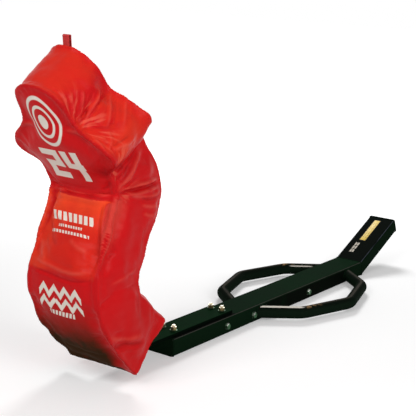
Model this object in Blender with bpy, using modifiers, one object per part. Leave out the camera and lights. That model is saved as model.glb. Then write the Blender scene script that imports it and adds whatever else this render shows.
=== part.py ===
"""One-man tackle sled: a man-shaped pad on a C-shaped spring leaf, bolted to a low steel beam.

The origin is the middle of the beam's underside, on the ground. The pad faces -Y and +Z is up.
Everything is in metres.
"""

import math

import bmesh
import bpy
from mathutils import Matrix, Vector

# Steel beam: rectangular tube that lies on the ground, with its tail bent up
BEAM_WIDTH = 0.127
BEAM_HEIGHT = 0.0635
BEAM_WALL = 0.0048
BEAM_CORNER = 0.0085
BEAM_LENGTH = 1.348
TAIL_LENGTH = 0.330
TAIL_RISE = math.radians(25.0)
CAP_THICKNESS = 0.005

# Side loops: one bent round tube on each side
LOOP_TUBE = 0.0472
LOOP_WALL = 0.003
LOOP_SPAN = 0.686
LOOP_REACH = 0.201
LOOP_START = 0.538
LOOP_SHOULDER_RUN = 0.106
LOOP_SHOULDER_OUT = 0.128
LOOP_BEND_RADIUS = 0.085

# Spring leaf: one flat bar, clamped on the beam and bent up through the pad
LEAF_WIDTH = 0.095
LEAF_THICKNESS = 0.0127
LEAF_ON_BEAM = 0.372
LEAF_RISE_RADIUS = 0.100
LEAF_JOINS_LEAN = math.radians(-20.0)
LEAF_BELOW_TOP = 0.235

# Pad: its spine runs from the cut lower end through the belly and waist to the head
PAD_FOOT_AHEAD = 0.223
PAD_FOOT_HEIGHT = 0.117
FOOT_LEAN = math.radians(-47.5)
FOOT_RUN = 0.165
BELLY_RADIUS = 0.161
BELLY_LEAN = math.radians(27.5)
WAIST_RUN = 0.151
WAIST_RADIUS = 0.141
CHEST_LEAN = math.radians(-36.0)
CHEST_RUN = 0.389
PAD_EDGE = 0.020
PAD_CROWN = 0.008
HEAD_CROWN = 0.026
COVER_THICKNESS = 0.003

# Depth of the pad in front of its spine
FOOT_FRONT = 0.111
BELLY_FRONT = 0.095
LAP_FRONT = 0.105
WAIST_FRONT = 0.133
CHEST_FRONT = 0.096
SHOULDER_FRONT = 0.108
HEAD_FRONT = 0.099

# Depth of the pad behind its spine
FOOT_REAR = 0.110
BELLY_REAR = 0.130
LOIN_REAR = 0.108
WAIST_REAR = 0.119
RIB_REAR = 0.1135
CHEST_REAR = 0.097
SHOULDER_REAR = 0.113
HEAD_REAR = 0.101

# Half widths of the pad, foot to head, and how far below the top the upper ones are
FOOT_HALF = 0.1485
BELLY_HALF = 0.1555
LAP_HALF = 0.142
WAIST_HALF = 0.1425
RIB_HALF = 0.148
ARMPIT_HALF = 0.133
ARM_HALF = 0.1885
SHOULDER_HALF = 0.212
COLLAR_HALF = 0.1665
NECK_HALF = 0.1075
CHEEK_HALF = 0.1005
BROW_HALF = 0.087
HEAD_TOP_HALF = 0.062
ARMPIT_BELOW_TOP = 0.330
ARM_BELOW_TOP = 0.272
SHOULDER_BELOW_TOP = 0.227
COLLAR_BELOW_TOP = 0.179
NECK_BELOW_TOP = 0.124
CHEEK_BELOW_TOP = 0.062
BROW_BELOW_TOP = 0.020

# Carrying strap: a folded webbing loop on top of the head
STRAP_WIDTH = 0.0254
STRAP_THICKNESS = 0.0028
STRAP_HEIGHT = 0.038
STRAP_FOLD = 0.0055
STRAP_LEAN = math.radians(-6.0)
STRAP_BEHIND_SPINE = 0.092

# Half-inch bolts, nuts and washers
BOLT_DIAMETER = 0.0127
BOLT_HOLE = 0.0137
HEX_ACROSS = 0.01905
HEAD_HEIGHT = 0.0079
NUT_HEIGHT = 0.0111
WASHER_DIAMETER = 0.027
WASHER_THICKNESS = 0.0024
BOLT_END = 0.007
CLAMP_BOLT_FROM_EDGE = 0.0225
CLAMP_BOLT_GAUGE = LEAF_WIDTH - 2 * CLAMP_BOLT_FROM_EDGE
CLAMP_BOLT_ROWS = (0.044, 0.333)
CLAMP_PLATE_LENGTH = 0.050
CLAMP_PLATE_WIDTH = 0.085
CLAMP_PLATE_THICKNESS = 0.00635
CROSS_BOLT_ROWS = (0.314, 0.490, 0.893)
SLEEVE_DIAMETER = 0.0205

# Gaps between pieces that rest on each other, and round the leaf inside the pad
SEAT_GAP = 0.0003
LINING_GAP = 0.0016

# Facets
ARC_STEP = math.radians(9.0)
ROUND_SIDES = 20
TUBE_SIDES = 16

# Places worked out from the sizes above
FRONT_Y = -BEAM_LENGTH / 2
BEND_Y = BEAM_LENGTH / 2
MITRE = TAIL_RISE / 2
LEAF_BOTTOM = BEAM_HEIGHT + SEAT_GAP
LEAF_MIDDLE = LEAF_BOTTOM + LEAF_THICKNESS / 2
BELLY_TURN = BELLY_LEAN - FOOT_LEAN
WAIST_TURN = BELLY_LEAN - CHEST_LEAN
BELLY_START = FOOT_RUN
BELLY_END = BELLY_START + BELLY_RADIUS * BELLY_TURN
WAIST_START = BELLY_END + WAIST_RUN
WAIST_END = WAIST_START + WAIST_RADIUS * WAIST_TURN
SPINE_LENGTH = WAIST_END + CHEST_RUN


def clear_scene():
    """Remove every object, so that the script always starts from nothing."""
    for old in list(bpy.data.objects):
        bpy.data.objects.remove(old, do_unlink=True)


def new_collection(name):
    """Make a collection in the scene."""
    made = bpy.data.collections.new(name)
    bpy.context.scene.collection.children.link(made)
    return made


clear_scene()
PARTS = new_collection("tackle_sled")
CUTTERS = new_collection("cutters")


def material(name, colour, roughness, metallic=0.0):
    """A Principled material with one colour."""
    made = bpy.data.materials.new(name)
    made.use_nodes = True
    shader = made.node_tree.nodes["Principled BSDF"]
    shader.inputs["Base Color"].default_value = (*colour, 1.0)
    shader.inputs["Roughness"].default_value = roughness
    shader.inputs["Metallic"].default_value = metallic
    return made


FRAME_PAINT = material("frame_paint", (0.010, 0.028, 0.016), 0.38)
SPRING_PAINT = material("spring_paint", (0.010, 0.030, 0.016), 0.40)
RED_VINYL = material("red_vinyl", (0.60, 0.020, 0.022), 0.42)
FOAM = material("foam", (0.72, 0.70, 0.60), 0.95)
WEBBING = material("webbing", (0.62, 0.030, 0.028), 0.80)
ZINC = material("zinc", (0.72, 0.66, 0.50), 0.30, 0.9)


def add_object(name, form):
    """Put a mesh or a curve among the parts as an object."""
    made = bpy.data.objects.new(name, form)
    PARTS.objects.link(made)
    return made


def finish(piece, paint, smooth_angle=math.radians(32.0)):
    """Give a finished piece its material and smooth shading."""
    piece.data.materials.clear()
    piece.data.materials.append(paint)
    piece.data.shade_smooth()
    piece.data.set_sharp_from_angle(angle=smooth_angle)
    return piece


def baked(piece):
    """Apply a piece's modifiers, or turn a curve into a mesh with welded caps."""
    bpy.context.view_layer.update()
    graph = bpy.context.evaluated_depsgraph_get()
    mesh = bpy.data.meshes.new_from_object(piece.evaluated_get(graph))
    work = bmesh.new()
    work.from_mesh(mesh)
    bmesh.ops.remove_doubles(work, verts=work.verts, dist=1e-6)
    bmesh.ops.recalc_face_normals(work, faces=work.faces)
    work.to_mesh(mesh)
    work.free()
    name = piece.name
    place = piece.matrix_world.copy()
    bpy.data.objects.remove(piece, do_unlink=True)
    made = add_object(name, mesh)
    made.matrix_world = place
    return made


def as_cutter(piece):
    """Mark a piece as a cutting shape, which is no part of the sled."""
    piece.hide_render = True
    piece.display_type = "WIRE"
    for home in list(piece.users_collection):
        home.objects.unlink(piece)
    CUTTERS.objects.link(piece)
    return piece


def boolean(piece, cutter, operation="DIFFERENCE"):
    """Cut, join or keep the overlap of a piece and a cutter."""
    step = piece.modifiers.new(f"{operation.lower()}_{cutter.name}", "BOOLEAN")
    step.operation = operation
    step.object = cutter
    step.solver = "EXACT"
    return piece


def box(name, low, high):
    """A box between two corners."""
    size = Vector(high) - Vector(low)
    middle = (Vector(high) + Vector(low)) / 2
    mesh = bpy.data.meshes.new(name)
    work = bmesh.new()
    bmesh.ops.create_cube(work, size=1.0, matrix=Matrix.Diagonal((*size, 1.0)))
    work.to_mesh(mesh)
    work.free()
    made = add_object(name, mesh)
    made.location = middle
    return made


def cylinder(name, diameter, length, place, sides=ROUND_SIDES):
    """A cylinder along the local Z of place, starting at its origin."""
    mesh = bpy.data.meshes.new(name)
    work = bmesh.new()
    bmesh.ops.create_cone(
        work,
        cap_ends=True,
        segments=sides,
        radius1=diameter / 2,
        radius2=diameter / 2,
        depth=length,
        matrix=Matrix.Translation((0.0, 0.0, length / 2)),
    )
    work.to_mesh(mesh)
    work.free()
    made = add_object(name, mesh)
    made.matrix_world = place
    return made


def rounded_rectangle(width, height, radius, steps=4):
    """Corner arcs of a rounded rectangle round the origin, counter-clockwise."""
    points = []
    for quarter, (sx, sy) in enumerate(((1, 1), (-1, 1), (-1, -1), (1, -1))):
        centre = Vector((sx * (width / 2 - radius), sy * (height / 2 - radius)))
        for step in range(steps + 1):
            angle = math.pi / 2 * (quarter + step / steps)
            points.append(centre + radius * Vector((math.cos(angle), math.sin(angle))))
    return points


def circle(diameter, sides=ROUND_SIDES):
    """Points of a circle round the origin."""
    turn = 2 * math.pi / sides
    return [diameter / 2 * Vector((math.cos(i * turn), math.sin(i * turn))) for i in range(sides)]


def outline_solid(name, outlines, thickness, place):
    """A flat outline with holes, thickened evenly to both sides of its plane."""
    curve = bpy.data.curves.new(name, "CURVE")
    curve.dimensions = "2D"
    curve.fill_mode = "BOTH"
    curve.extrude = thickness / 2
    for outline in outlines:
        spline = curve.splines.new("POLY")
        spline.points.add(len(outline) - 1)
        for point, spot in zip(spline.points, outline):
            point.co = (spot[0], spot[1], 0.0, 1.0)
        spline.use_cyclic_u = True
    made = add_object(name, curve)
    made.matrix_world = place
    return baked(made)


def swept_tube(name, path, diameter, sides=TUBE_SIDES):
    """A round bar along a path of points."""
    curve = bpy.data.curves.new(name, "CURVE")
    curve.dimensions = "3D"
    curve.bevel_depth = diameter / 2
    curve.bevel_resolution = sides // 4 - 1
    curve.use_fill_caps = True
    spline = curve.splines.new("POLY")
    spline.points.add(len(path) - 1)
    for point, spot in zip(spline.points, path):
        point.co = (*spot, 1.0)
    made = add_object(name, curve)
    return baked(made)


def bent_path(corners, radius, step=ARC_STEP):
    """Points through corners, each inner corner rounded with an arc of the radius."""
    points = [Vector(corners[0])]
    for before, corner, after in zip(corners, corners[1:], corners[2:]):
        corner = Vector(corner)
        come = (corner - Vector(before)).normalized()
        leave = (Vector(after) - corner).normalized()
        turn = come.angle(leave)
        start = corner - come * radius * math.tan(turn / 2)
        inward = (leave - come * come.dot(leave)).normalized()
        count = max(2, math.ceil(turn / step))
        for i in range(count + 1):
            angle = turn * i / count
            points.append(start + come * radius * math.sin(angle) + inward * radius * (1 - math.cos(angle)))
    points.append(Vector(corners[-1]))
    return points


def side_plane(y=0.0, z=0.0):
    """Place a flat outline upright along the sled: its X runs along +Y, its Y up."""
    return Matrix.Translation((0.0, y, z)) @ Matrix(((0, 0, 1, 0), (1, 0, 0, 0), (0, 1, 0, 0), (0, 0, 0, 1)))


def cross_section(y=0.0, z=0.0, tilt=0.0):
    """Place a flat outline across the sled, its face towards -Y, tipped back by tilt."""
    upright = Matrix.Rotation(math.radians(90.0) + tilt, 4, "X")
    return Matrix.Translation((0.0, y, z)) @ upright


# Beam and tail
def tail_direction():
    """Unit vector along the tail, away from the bend."""
    return Vector((0.0, math.cos(TAIL_RISE), math.sin(TAIL_RISE)))


def bend_point():
    """Where the beam's top meets the tail's top."""
    return Vector((0.0, BEND_Y, BEAM_HEIGHT))


def tube_section():
    """Outer and inner outline of the beam's tube."""
    outer = rounded_rectangle(BEAM_WIDTH, BEAM_HEIGHT, BEAM_CORNER)
    inner = rounded_rectangle(
        BEAM_WIDTH - 2 * BEAM_WALL,
        BEAM_HEIGHT - 2 * BEAM_WALL,
        max(BEAM_CORNER - BEAM_WALL, 0.001),
    )
    return [outer, inner]


def mitre_cutter(name, behind):
    """A block behind or before the mitre plane of the bend, half a gap away from it."""
    reach = BEAM_HEIGHT * 4
    low_y, high_y = (-SEAT_GAP / 2, reach) if behind else (-reach, SEAT_GAP / 2)
    block = box(name, (-BEAM_WIDTH, low_y, -reach), (BEAM_WIDTH, high_y, reach))
    turn = Matrix.Translation(bend_point()) @ Matrix.Rotation(MITRE, 4, "X")
    block.matrix_world = turn @ Matrix.Translation(block.location)
    return as_cutter(block)


def main_beam():
    """The long tube on the ground, mitred at its rear end and drilled for the bolts."""
    overrun = BEAM_HEIGHT * math.tan(MITRE) + 0.01
    length = BEAM_LENGTH + overrun
    place = cross_section(FRONT_Y + length / 2, BEAM_HEIGHT / 2)
    beam = outline_solid("main_beam", tube_section(), length, place)
    boolean(beam, mitre_cutter("cut_beam_mitre", True))
    for number, row in enumerate(CROSS_BOLT_ROWS, 1):
        drill = cylinder(
            f"cut_cross_hole_{number}",
            BOLT_HOLE,
            BEAM_WIDTH * 1.5,
            across(FRONT_Y + row, BEAM_HEIGHT / 2, BEAM_WIDTH * 0.75),
        )
        boolean(beam, as_cutter(drill))
    for name, x, y in clamp_bolt_places():
        drill = cylinder(
            f"cut_{name}",
            BOLT_HOLE,
            BEAM_HEIGHT,
            Matrix.Translation((x, y, BEAM_HEIGHT / 2)),
        )
        boolean(beam, as_cutter(drill))
    return finish(baked(beam), FRAME_PAINT)


def tail():
    """The bent-up rear end, mitred onto the beam."""
    along = tail_direction()
    underrun = BEAM_HEIGHT * math.tan(MITRE) + 0.01
    length = TAIL_LENGTH + underrun
    inward = Vector((0.0, math.sin(TAIL_RISE), -math.cos(TAIL_RISE))) * BEAM_HEIGHT / 2
    middle = bend_point() + inward + along * (length / 2 - underrun)
    piece = outline_solid("tail", tube_section(), length, cross_section(middle.y, middle.z, TAIL_RISE))
    boolean(piece, mitre_cutter("cut_tail_mitre", False))
    return finish(baked(piece), FRAME_PAINT)


def end_cap(name, centre, outward):
    """A plate over an open end of the tube, seated a gap away."""
    outline = rounded_rectangle(BEAM_WIDTH, BEAM_HEIGHT, BEAM_CORNER)
    spot = centre + outward * (SEAT_GAP + CAP_THICKNESS / 2)
    tilt = math.atan2(outward.z, abs(outward.y))
    return finish(outline_solid(name, [outline], CAP_THICKNESS, cross_section(spot.y, spot.z, tilt)), FRAME_PAINT)


def end_caps():
    """Plates welded over the front end of the beam and the rear end of the tail."""
    end_cap("front_end_cap", Vector((0.0, FRONT_Y, BEAM_HEIGHT / 2)), Vector((0.0, -1.0, 0.0)))
    along = tail_direction()
    inward = Vector((0.0, math.sin(TAIL_RISE), -math.cos(TAIL_RISE))) * BEAM_HEIGHT / 2
    end_cap("tail_end_cap", bend_point() + inward + along * TAIL_LENGTH, along)


# Side loops
def loop_path(side):
    """Centre line of a side loop, from inside the beam, round, and back inside."""
    start = FRONT_Y + LOOP_START
    height = BEAM_HEIGHT / 2
    lead_in = BEAM_WIDTH / 4
    back = lead_in * LOOP_SHOULDER_RUN / LOOP_SHOULDER_OUT
    corners = [
        (BEAM_WIDTH / 2 - lead_in, start - back),
        (BEAM_WIDTH / 2 + LOOP_SHOULDER_OUT, start + LOOP_SHOULDER_RUN),
        (BEAM_WIDTH / 2 + LOOP_REACH, start + LOOP_SPAN / 2),
        (BEAM_WIDTH / 2 + LOOP_SHOULDER_OUT, start + LOOP_SPAN - LOOP_SHOULDER_RUN),
        (BEAM_WIDTH / 2 - lead_in, start + LOOP_SPAN + back),
    ]
    return bent_path([(side * x, y, height) for x, y in corners], LOOP_BEND_RADIUS)


def side_loop(name, side):
    """A bent tube whose two ends are coped to the beam's side and welded there."""
    loop = swept_tube(name, loop_path(side), LOOP_TUBE)
    bore = swept_tube(f"cut_{name}_bore", loop_path(side), LOOP_TUBE - 2 * LOOP_WALL, 12)
    reach = BEAM_WIDTH / 2 + SEAT_GAP
    coping = box(
        f"cut_{name}_ends",
        (-reach, FRONT_Y, -BEAM_HEIGHT),
        (reach, BEND_Y, 2 * BEAM_HEIGHT),
    )
    boolean(loop, as_cutter(bore))
    boolean(loop, as_cutter(coping))
    return finish(baked(loop), FRAME_PAINT)


# Pad spine
def spine(distance):
    """Point and lean of the pad's spine at a distance from its cut lower end."""
    spot = Vector((0.0, FRONT_Y - PAD_FOOT_AHEAD, PAD_FOOT_HEIGHT))
    lean = FOOT_LEAN
    steps = (
        (FOOT_RUN, 0.0),
        (BELLY_RADIUS * BELLY_TURN, BELLY_TURN),
        (WAIST_RUN, 0.0),
        (WAIST_RADIUS * WAIST_TURN, -WAIST_TURN),
        (CHEST_RUN, 0.0),
    )
    left = distance
    for length, turn in steps:
        used = min(left, length)
        if turn == 0.0:
            spot = spot + used * Vector((0.0, math.sin(lean), math.cos(lean)))
        else:
            radius = length / turn
            new_lean = lean + turn * used / length
            spot = spot + radius * Vector(
                (0.0, math.cos(lean) - math.cos(new_lean), math.sin(new_lean) - math.sin(lean))
            )
            lean = new_lean
        left -= used
        if left <= 0.0:
            break
    return spot, lean


def pad_stations():
    """Distance up the spine, half width, depth in front and depth behind of each section of the pad."""
    belly_arc = BELLY_END - BELLY_START
    waist_arc = WAIST_END - WAIST_START
    return [
        (0.0, FOOT_HALF, FOOT_FRONT, FOOT_REAR),
        (FOOT_RUN * 0.8, (FOOT_HALF + BELLY_HALF) / 2, (FOOT_FRONT + BELLY_FRONT) / 2, FOOT_REAR),
        (BELLY_START + belly_arc * 0.4, BELLY_HALF, BELLY_FRONT, (FOOT_REAR * 3 + BELLY_REAR) / 4),
        (BELLY_START + belly_arc * 0.925, LAP_HALF, LAP_FRONT, BELLY_REAR),
        (BELLY_END + WAIST_RUN * 0.625, WAIST_HALF, (LAP_FRONT * 3 + WAIST_FRONT) / 4, LOIN_REAR),
        (WAIST_START + waist_arc * 0.31, WAIST_HALF, WAIST_FRONT, WAIST_REAR),
        (WAIST_START + waist_arc * 0.915, RIB_HALF, (WAIST_FRONT + CHEST_FRONT) / 2, RIB_REAR),
        (SPINE_LENGTH - ARMPIT_BELOW_TOP, ARMPIT_HALF, CHEST_FRONT, CHEST_REAR),
        (SPINE_LENGTH - ARM_BELOW_TOP, ARM_HALF, (CHEST_FRONT + SHOULDER_FRONT * 2) / 3, SHOULDER_REAR),
        (SPINE_LENGTH - SHOULDER_BELOW_TOP, SHOULDER_HALF, SHOULDER_FRONT, SHOULDER_REAR),
        (SPINE_LENGTH - COLLAR_BELOW_TOP, COLLAR_HALF, SHOULDER_FRONT, HEAD_REAR),
        (SPINE_LENGTH - NECK_BELOW_TOP, NECK_HALF, (SHOULDER_FRONT + HEAD_FRONT) / 2, HEAD_REAR),
        (SPINE_LENGTH - CHEEK_BELOW_TOP, CHEEK_HALF, HEAD_FRONT, HEAD_REAR),
        (SPINE_LENGTH - BROW_BELOW_TOP, BROW_HALF, HEAD_FRONT, HEAD_REAR),
        (SPINE_LENGTH, HEAD_TOP_HALF, HEAD_FRONT, HEAD_REAR),
    ]


def pad_section(distance, half_width, front, rear, inset):
    """Ring of ten points round the pad at a station, front first, then the right side."""
    near = front - inset
    far = rear - inset
    wide = half_width - inset
    edge = PAD_EDGE
    flat = [
        (-(wide - edge), -near),
        (0.0, -near - PAD_CROWN),
        (wide - edge, -near),
        (wide, -near + edge),
        (wide, far - edge),
        (wide - edge, far),
        (0.0, far + PAD_CROWN),
        (-(wide - edge), far),
        (-wide, far - edge),
        (-wide, -near + edge),
    ]
    spot, lean = spine(distance)
    backward = Vector((0.0, math.cos(lean), -math.sin(lean)))
    return [spot + Vector((across_x, 0.0, 0.0)) + backward * offset for across_x, offset in flat]


def close_end(work, ring):
    """Close a ring of ten with two side quads and two middle quads."""
    for corners in ((0, 1, 6, 7), (1, 2, 5, 6), (2, 3, 4, 5), (7, 8, 9, 0)):
        work.faces.new([ring[i] for i in corners])


def pad_form(name, inset):
    """The man-shaped pad as a coarse cage with a subdivided surface, set in by inset."""
    work = bmesh.new()
    stations = pad_stations()
    stations[0] = (inset, *stations[0][1:])
    stations[-1] = (SPINE_LENGTH - inset, *stations[-1][1:])
    rings = []
    for distance, half_width, front, rear in stations:
        ring = pad_section(distance, half_width, front, rear, inset)
        rings.append([work.verts.new(point) for point in ring])
    for low, high in zip(rings, rings[1:]):
        for i in range(len(low)):
            j = (i + 1) % len(low)
            work.faces.new((low[i], low[j], high[j], high[i]))
    close_end(work, rings[0])
    close_end(work, rings[-1])
    top, lean = spine(SPINE_LENGTH)
    upward = Vector((0.0, math.sin(lean), math.cos(lean)))
    for vertex in (rings[-1][1], rings[-1][6]):
        vertex.co += upward * HEAD_CROWN
    crease = work.edges.layers.float.new("crease_edge")
    foot = set(rings[0])
    for edge in work.edges:
        if edge.verts[0] in foot and edge.verts[1] in foot:
            edge[crease] = 1.0
    bmesh.ops.recalc_face_normals(work, faces=work.faces)
    mesh = bpy.data.meshes.new(name)
    work.to_mesh(mesh)
    work.free()
    made = add_object(name, mesh)
    smooth = made.modifiers.new("soft_form", "SUBSURF")
    smooth.levels = 1
    smooth.render_levels = 1
    split = made.modifiers.new("same_diagonals", "TRIANGULATE")
    split.quad_method = "FIXED"
    return made


# Spring leaf
def leaf_path(top):
    """Side view of the leaf's centre line, from its rear end on the beam up into the pad."""
    joins_at = BELLY_START + BELLY_RADIUS * (LEAF_JOINS_LEAN - FOOT_LEAN)
    joint, lean = spine(joins_at)
    run = Vector((0.0, math.sin(lean), math.cos(lean)))
    corner = joint - run * ((joint.z - LEAF_MIDDLE) / run.z)
    rear_end = Vector((0.0, FRONT_Y + LEAF_ON_BEAM, LEAF_MIDDLE))
    stops = arc_stops(joins_at, BELLY_END, BELLY_LEAN - LEAF_JOINS_LEAN)
    stops += [WAIST_START]
    stops += arc_stops(WAIST_START, WAIST_END, WAIST_TURN)
    stops += [SPINE_LENGTH - top]
    return bent_path([rear_end, corner, joint], LEAF_RISE_RADIUS) + [spine(stop)[0] for stop in stops]


def arc_stops(start, end, turn):
    """Distances along an arc of the spine, without its start."""
    count = max(2, math.ceil(turn / ARC_STEP))
    return [start + (end - start) * i / count for i in range(1, count + 1)]


def strip_outline(path, thickness):
    """Both edges of a strip along a path in the plane of Y and Z, as one outline."""
    near, far = [], []
    for i, point in enumerate(path):
        before = path[max(i - 1, 0)]
        after = path[min(i + 1, len(path) - 1)]
        come = (point - before).normalized() if i else (after - point).normalized()
        leave = (after - point).normalized() if i < len(path) - 1 else come
        middle = (come + leave).normalized()
        normal = Vector((0.0, -middle.z, middle.y))
        offset = normal * (thickness / 2 / middle.dot(come))
        near.append(((point + offset).y, (point + offset).z))
        far.append(((point - offset).y, (point - offset).z))
    return near + far[::-1]


def leaf_slot(name, clearance):
    """The hollow that the leaf fills in the pad, open at the pad's lower end."""
    outline = strip_outline(leaf_path(LEAF_BELOW_TOP - clearance), LEAF_THICKNESS + 2 * clearance)
    slot = outline_solid(name, [outline], LEAF_WIDTH + 2 * clearance, side_plane())
    return as_cutter(slot)


def spring_leaf():
    """The C-shaped leaf with the holes of its clamp bolts."""
    outline = strip_outline(leaf_path(LEAF_BELOW_TOP), LEAF_THICKNESS)
    leaf = outline_solid("spring_leaf", [outline], LEAF_WIDTH, side_plane())
    for name, x, y in clamp_bolt_places():
        drill = cylinder(
            f"cut_leaf_{name}",
            BOLT_HOLE,
            BEAM_HEIGHT,
            Matrix.Translation((x, y, BEAM_HEIGHT / 2)),
        )
        boolean(leaf, as_cutter(drill))
    return finish(baked(leaf), SPRING_PAINT)


def pad():
    """Foam core round the leaf, and the vinyl cover round the foam."""
    foam = pad_form("foam_core", COVER_THICKNESS + LINING_GAP)
    boolean(foam, leaf_slot("cut_foam_slot", SEAT_GAP))
    finish(baked(foam), FOAM)
    cover = pad_form("pad_cover", 0.0)
    cavity = as_cutter(pad_form("cut_cover_cavity", COVER_THICKNESS))
    boolean(cover, cavity)
    boolean(cover, leaf_slot("cut_cover_slot", SEAT_GAP * 2))
    finish(baked(cover), RED_VINYL)


def head_strap():
    """A webbing strip folded into a loop and sewn down on top of the head."""
    top, lean = spine(SPINE_LENGTH)
    backward = Vector((0.0, math.cos(lean), -math.sin(lean)))
    foot = top + backward * STRAP_BEHIND_SPINE
    rise = Vector((0.0, math.sin(STRAP_LEAN), math.cos(STRAP_LEAN)))
    apart = Vector((0.0, rise.z, -rise.y)) * STRAP_FOLD
    points = [foot - apart]
    for step in range(9):
        angle = math.pi * step / 8
        centre = foot + rise * (STRAP_HEIGHT - STRAP_FOLD)
        points.append(centre - apart * math.cos(angle) + rise * STRAP_FOLD * math.sin(angle))
    points.append(foot + apart)
    outline = strip_outline(points, STRAP_THICKNESS)
    strap = outline_solid("head_strap", [outline], STRAP_WIDTH, side_plane())
    boolean(strap, as_cutter(pad_form("cut_strap_foot", -SEAT_GAP)))
    return finish(baked(strap), WEBBING)


# Bolts, nuts and washers
def across(y, z, x=0.0):
    """Place a turned piece across the sled, its axis along -X, starting at x."""
    return Matrix.Translation((x, y, z)) @ Matrix.Rotation(math.radians(-90.0), 4, "Y")


def clamp_bolt_places():
    """Name and place of each bolt that clamps the leaf."""
    places = []
    for row_name, row in zip(("front", "rear"), CLAMP_BOLT_ROWS):
        for side_name, side in (("left", -1), ("right", 1)):
            places.append((f"{row_name}_{side_name}", side * CLAMP_BOLT_GAUGE / 2, FRONT_Y + row))
    return places


def hex_piece(name, height):
    """A six-sided block along +Z from the origin, with softened rims."""
    block = cylinder(name, HEX_ACROSS / math.cos(math.pi / 6), height, Matrix.Identity(4), 6)
    rim = block.modifiers.new("rim", "BEVEL")
    rim.width = HEAD_HEIGHT * 0.09
    rim.segments = 1
    rim.limit_method = "ANGLE"
    rim.angle_limit = math.radians(70.0)
    return block


def bolt_mesh(shank):
    """A hex bolt: its head lies below the origin, its shank rises from it."""
    head = baked(hex_piece("bolt_head", HEAD_HEIGHT))
    head.data.transform(Matrix.Translation((0.0, 0.0, -HEAD_HEIGHT)))
    overlap = HEAD_HEIGHT / 2
    body = cylinder(
        "cut_bolt_shank",
        BOLT_DIAMETER,
        shank + overlap,
        Matrix.Translation((0.0, 0.0, -overlap)),
    )
    boolean(head, as_cutter(body), "UNION")
    return take_mesh(baked(head))


def nut_mesh():
    """A hex nut from the origin up."""
    nut = baked(hex_piece("nut", NUT_HEIGHT))
    hole = BOLT_DIAMETER + 2 * SEAT_GAP
    bore = cylinder("cut_nut_bore", hole, NUT_HEIGHT * 2, Matrix.Translation((0.0, 0.0, -NUT_HEIGHT / 2)))
    boolean(nut, as_cutter(bore))
    return take_mesh(baked(nut))


def ring_mesh(name, outer, inner, length):
    """A flat or long ring from the origin up."""
    place = Matrix.Translation((0.0, 0.0, length / 2))
    ring = outline_solid(name, [circle(outer), circle(inner)], length, place)
    ring.data.transform(place)
    return take_mesh(ring)


def take_mesh(piece):
    """Keep the mesh of a finished pattern piece and remove its object."""
    mesh = piece.data
    bpy.data.objects.remove(piece, do_unlink=True)
    return mesh


def place_piece(name, mesh, place, paint):
    """One copy of a repeated piece."""
    made = add_object(name, mesh)
    made.matrix_world = place
    return finish(made, paint)


def clamp_bolts(nut, washer):
    """Bolts from inside the beam up through wall and leaf, with nuts on top."""
    ceiling = BEAM_HEIGHT - BEAM_WALL
    plate_low = ceiling - SEAT_GAP - CLAMP_PLATE_THICKNESS
    head_top = plate_low - SEAT_GAP
    washer_low = LEAF_BOTTOM + LEAF_THICKNESS + SEAT_GAP
    nut_low = washer_low + WASHER_THICKNESS + SEAT_GAP
    bolt = bolt_mesh(nut_low + NUT_HEIGHT + BOLT_END - head_top)
    for name, x, y in clamp_bolt_places():
        place_piece(f"clamp_bolt_{name}", bolt, Matrix.Translation((x, y, head_top)), ZINC)
        place_piece(f"clamp_washer_{name}", washer, Matrix.Translation((x, y, washer_low)), ZINC)
        place_piece(f"clamp_nut_{name}", nut, Matrix.Translation((x, y, nut_low)), ZINC)
    for row_name, row in zip(("front", "rear"), CLAMP_BOLT_ROWS):
        outline = rounded_rectangle(CLAMP_PLATE_WIDTH, CLAMP_PLATE_LENGTH, BEAM_CORNER / 2)
        holes = []
        for side in (-1, 1):
            shift = Vector((side * CLAMP_BOLT_GAUGE / 2, 0.0))
            holes.append([shift + spot for spot in circle(BOLT_HOLE)])
        middle = Matrix.Translation((0.0, FRONT_Y + row, plate_low + CLAMP_PLATE_THICKNESS / 2))
        plate = outline_solid(f"clamp_plate_{row_name}", [outline, *holes], CLAMP_PLATE_THICKNESS, middle)
        finish(plate, ZINC)


def cross_bolts(nut, washer):
    """Bolts through both side walls, each with a sleeve inside that stops the walls from bending in."""
    outside = BEAM_WIDTH / 2 + SEAT_GAP
    under_head = outside + WASHER_THICKNESS + SEAT_GAP
    bolt = bolt_mesh(2 * under_head + NUT_HEIGHT + BOLT_END)
    inside = BEAM_WIDTH - 2 * BEAM_WALL - 2 * SEAT_GAP
    sleeve = ring_mesh("sleeve", SLEEVE_DIAMETER, BOLT_HOLE, inside)
    height = BEAM_HEIGHT / 2
    for name, row in zip(("front", "middle", "rear"), CROSS_BOLT_ROWS):
        y = FRONT_Y + row
        place_piece(f"cross_bolt_{name}", bolt, across(y, height, under_head), ZINC)
        place_piece(f"cross_washer_{name}_near", washer, across(y, height, outside + WASHER_THICKNESS), ZINC)
        place_piece(f"cross_washer_{name}_far", washer, across(y, height, -outside), ZINC)
        place_piece(f"cross_nut_{name}", nut, across(y, height, -under_head), ZINC)
        place_piece(f"cross_sleeve_{name}", sleeve, across(y, height, inside / 2), ZINC)


def pad_hinge():
    """Empty on the line about which the pad rocks as the leaf bends, half way along its free length."""
    pivot = bpy.data.objects.new("pad_hinge", None)
    PARTS.objects.link(pivot)
    pivot.location = (0.0, FRONT_Y - PAD_FOOT_AHEAD / 2, LEAF_MIDDLE)
    bpy.context.view_layer.update()
    for name in ("foam_core", "pad_cover", "head_strap"):
        piece = bpy.data.objects[name]
        piece.parent = pivot
        piece.matrix_parent_inverse = pivot.matrix_world.inverted()


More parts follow.
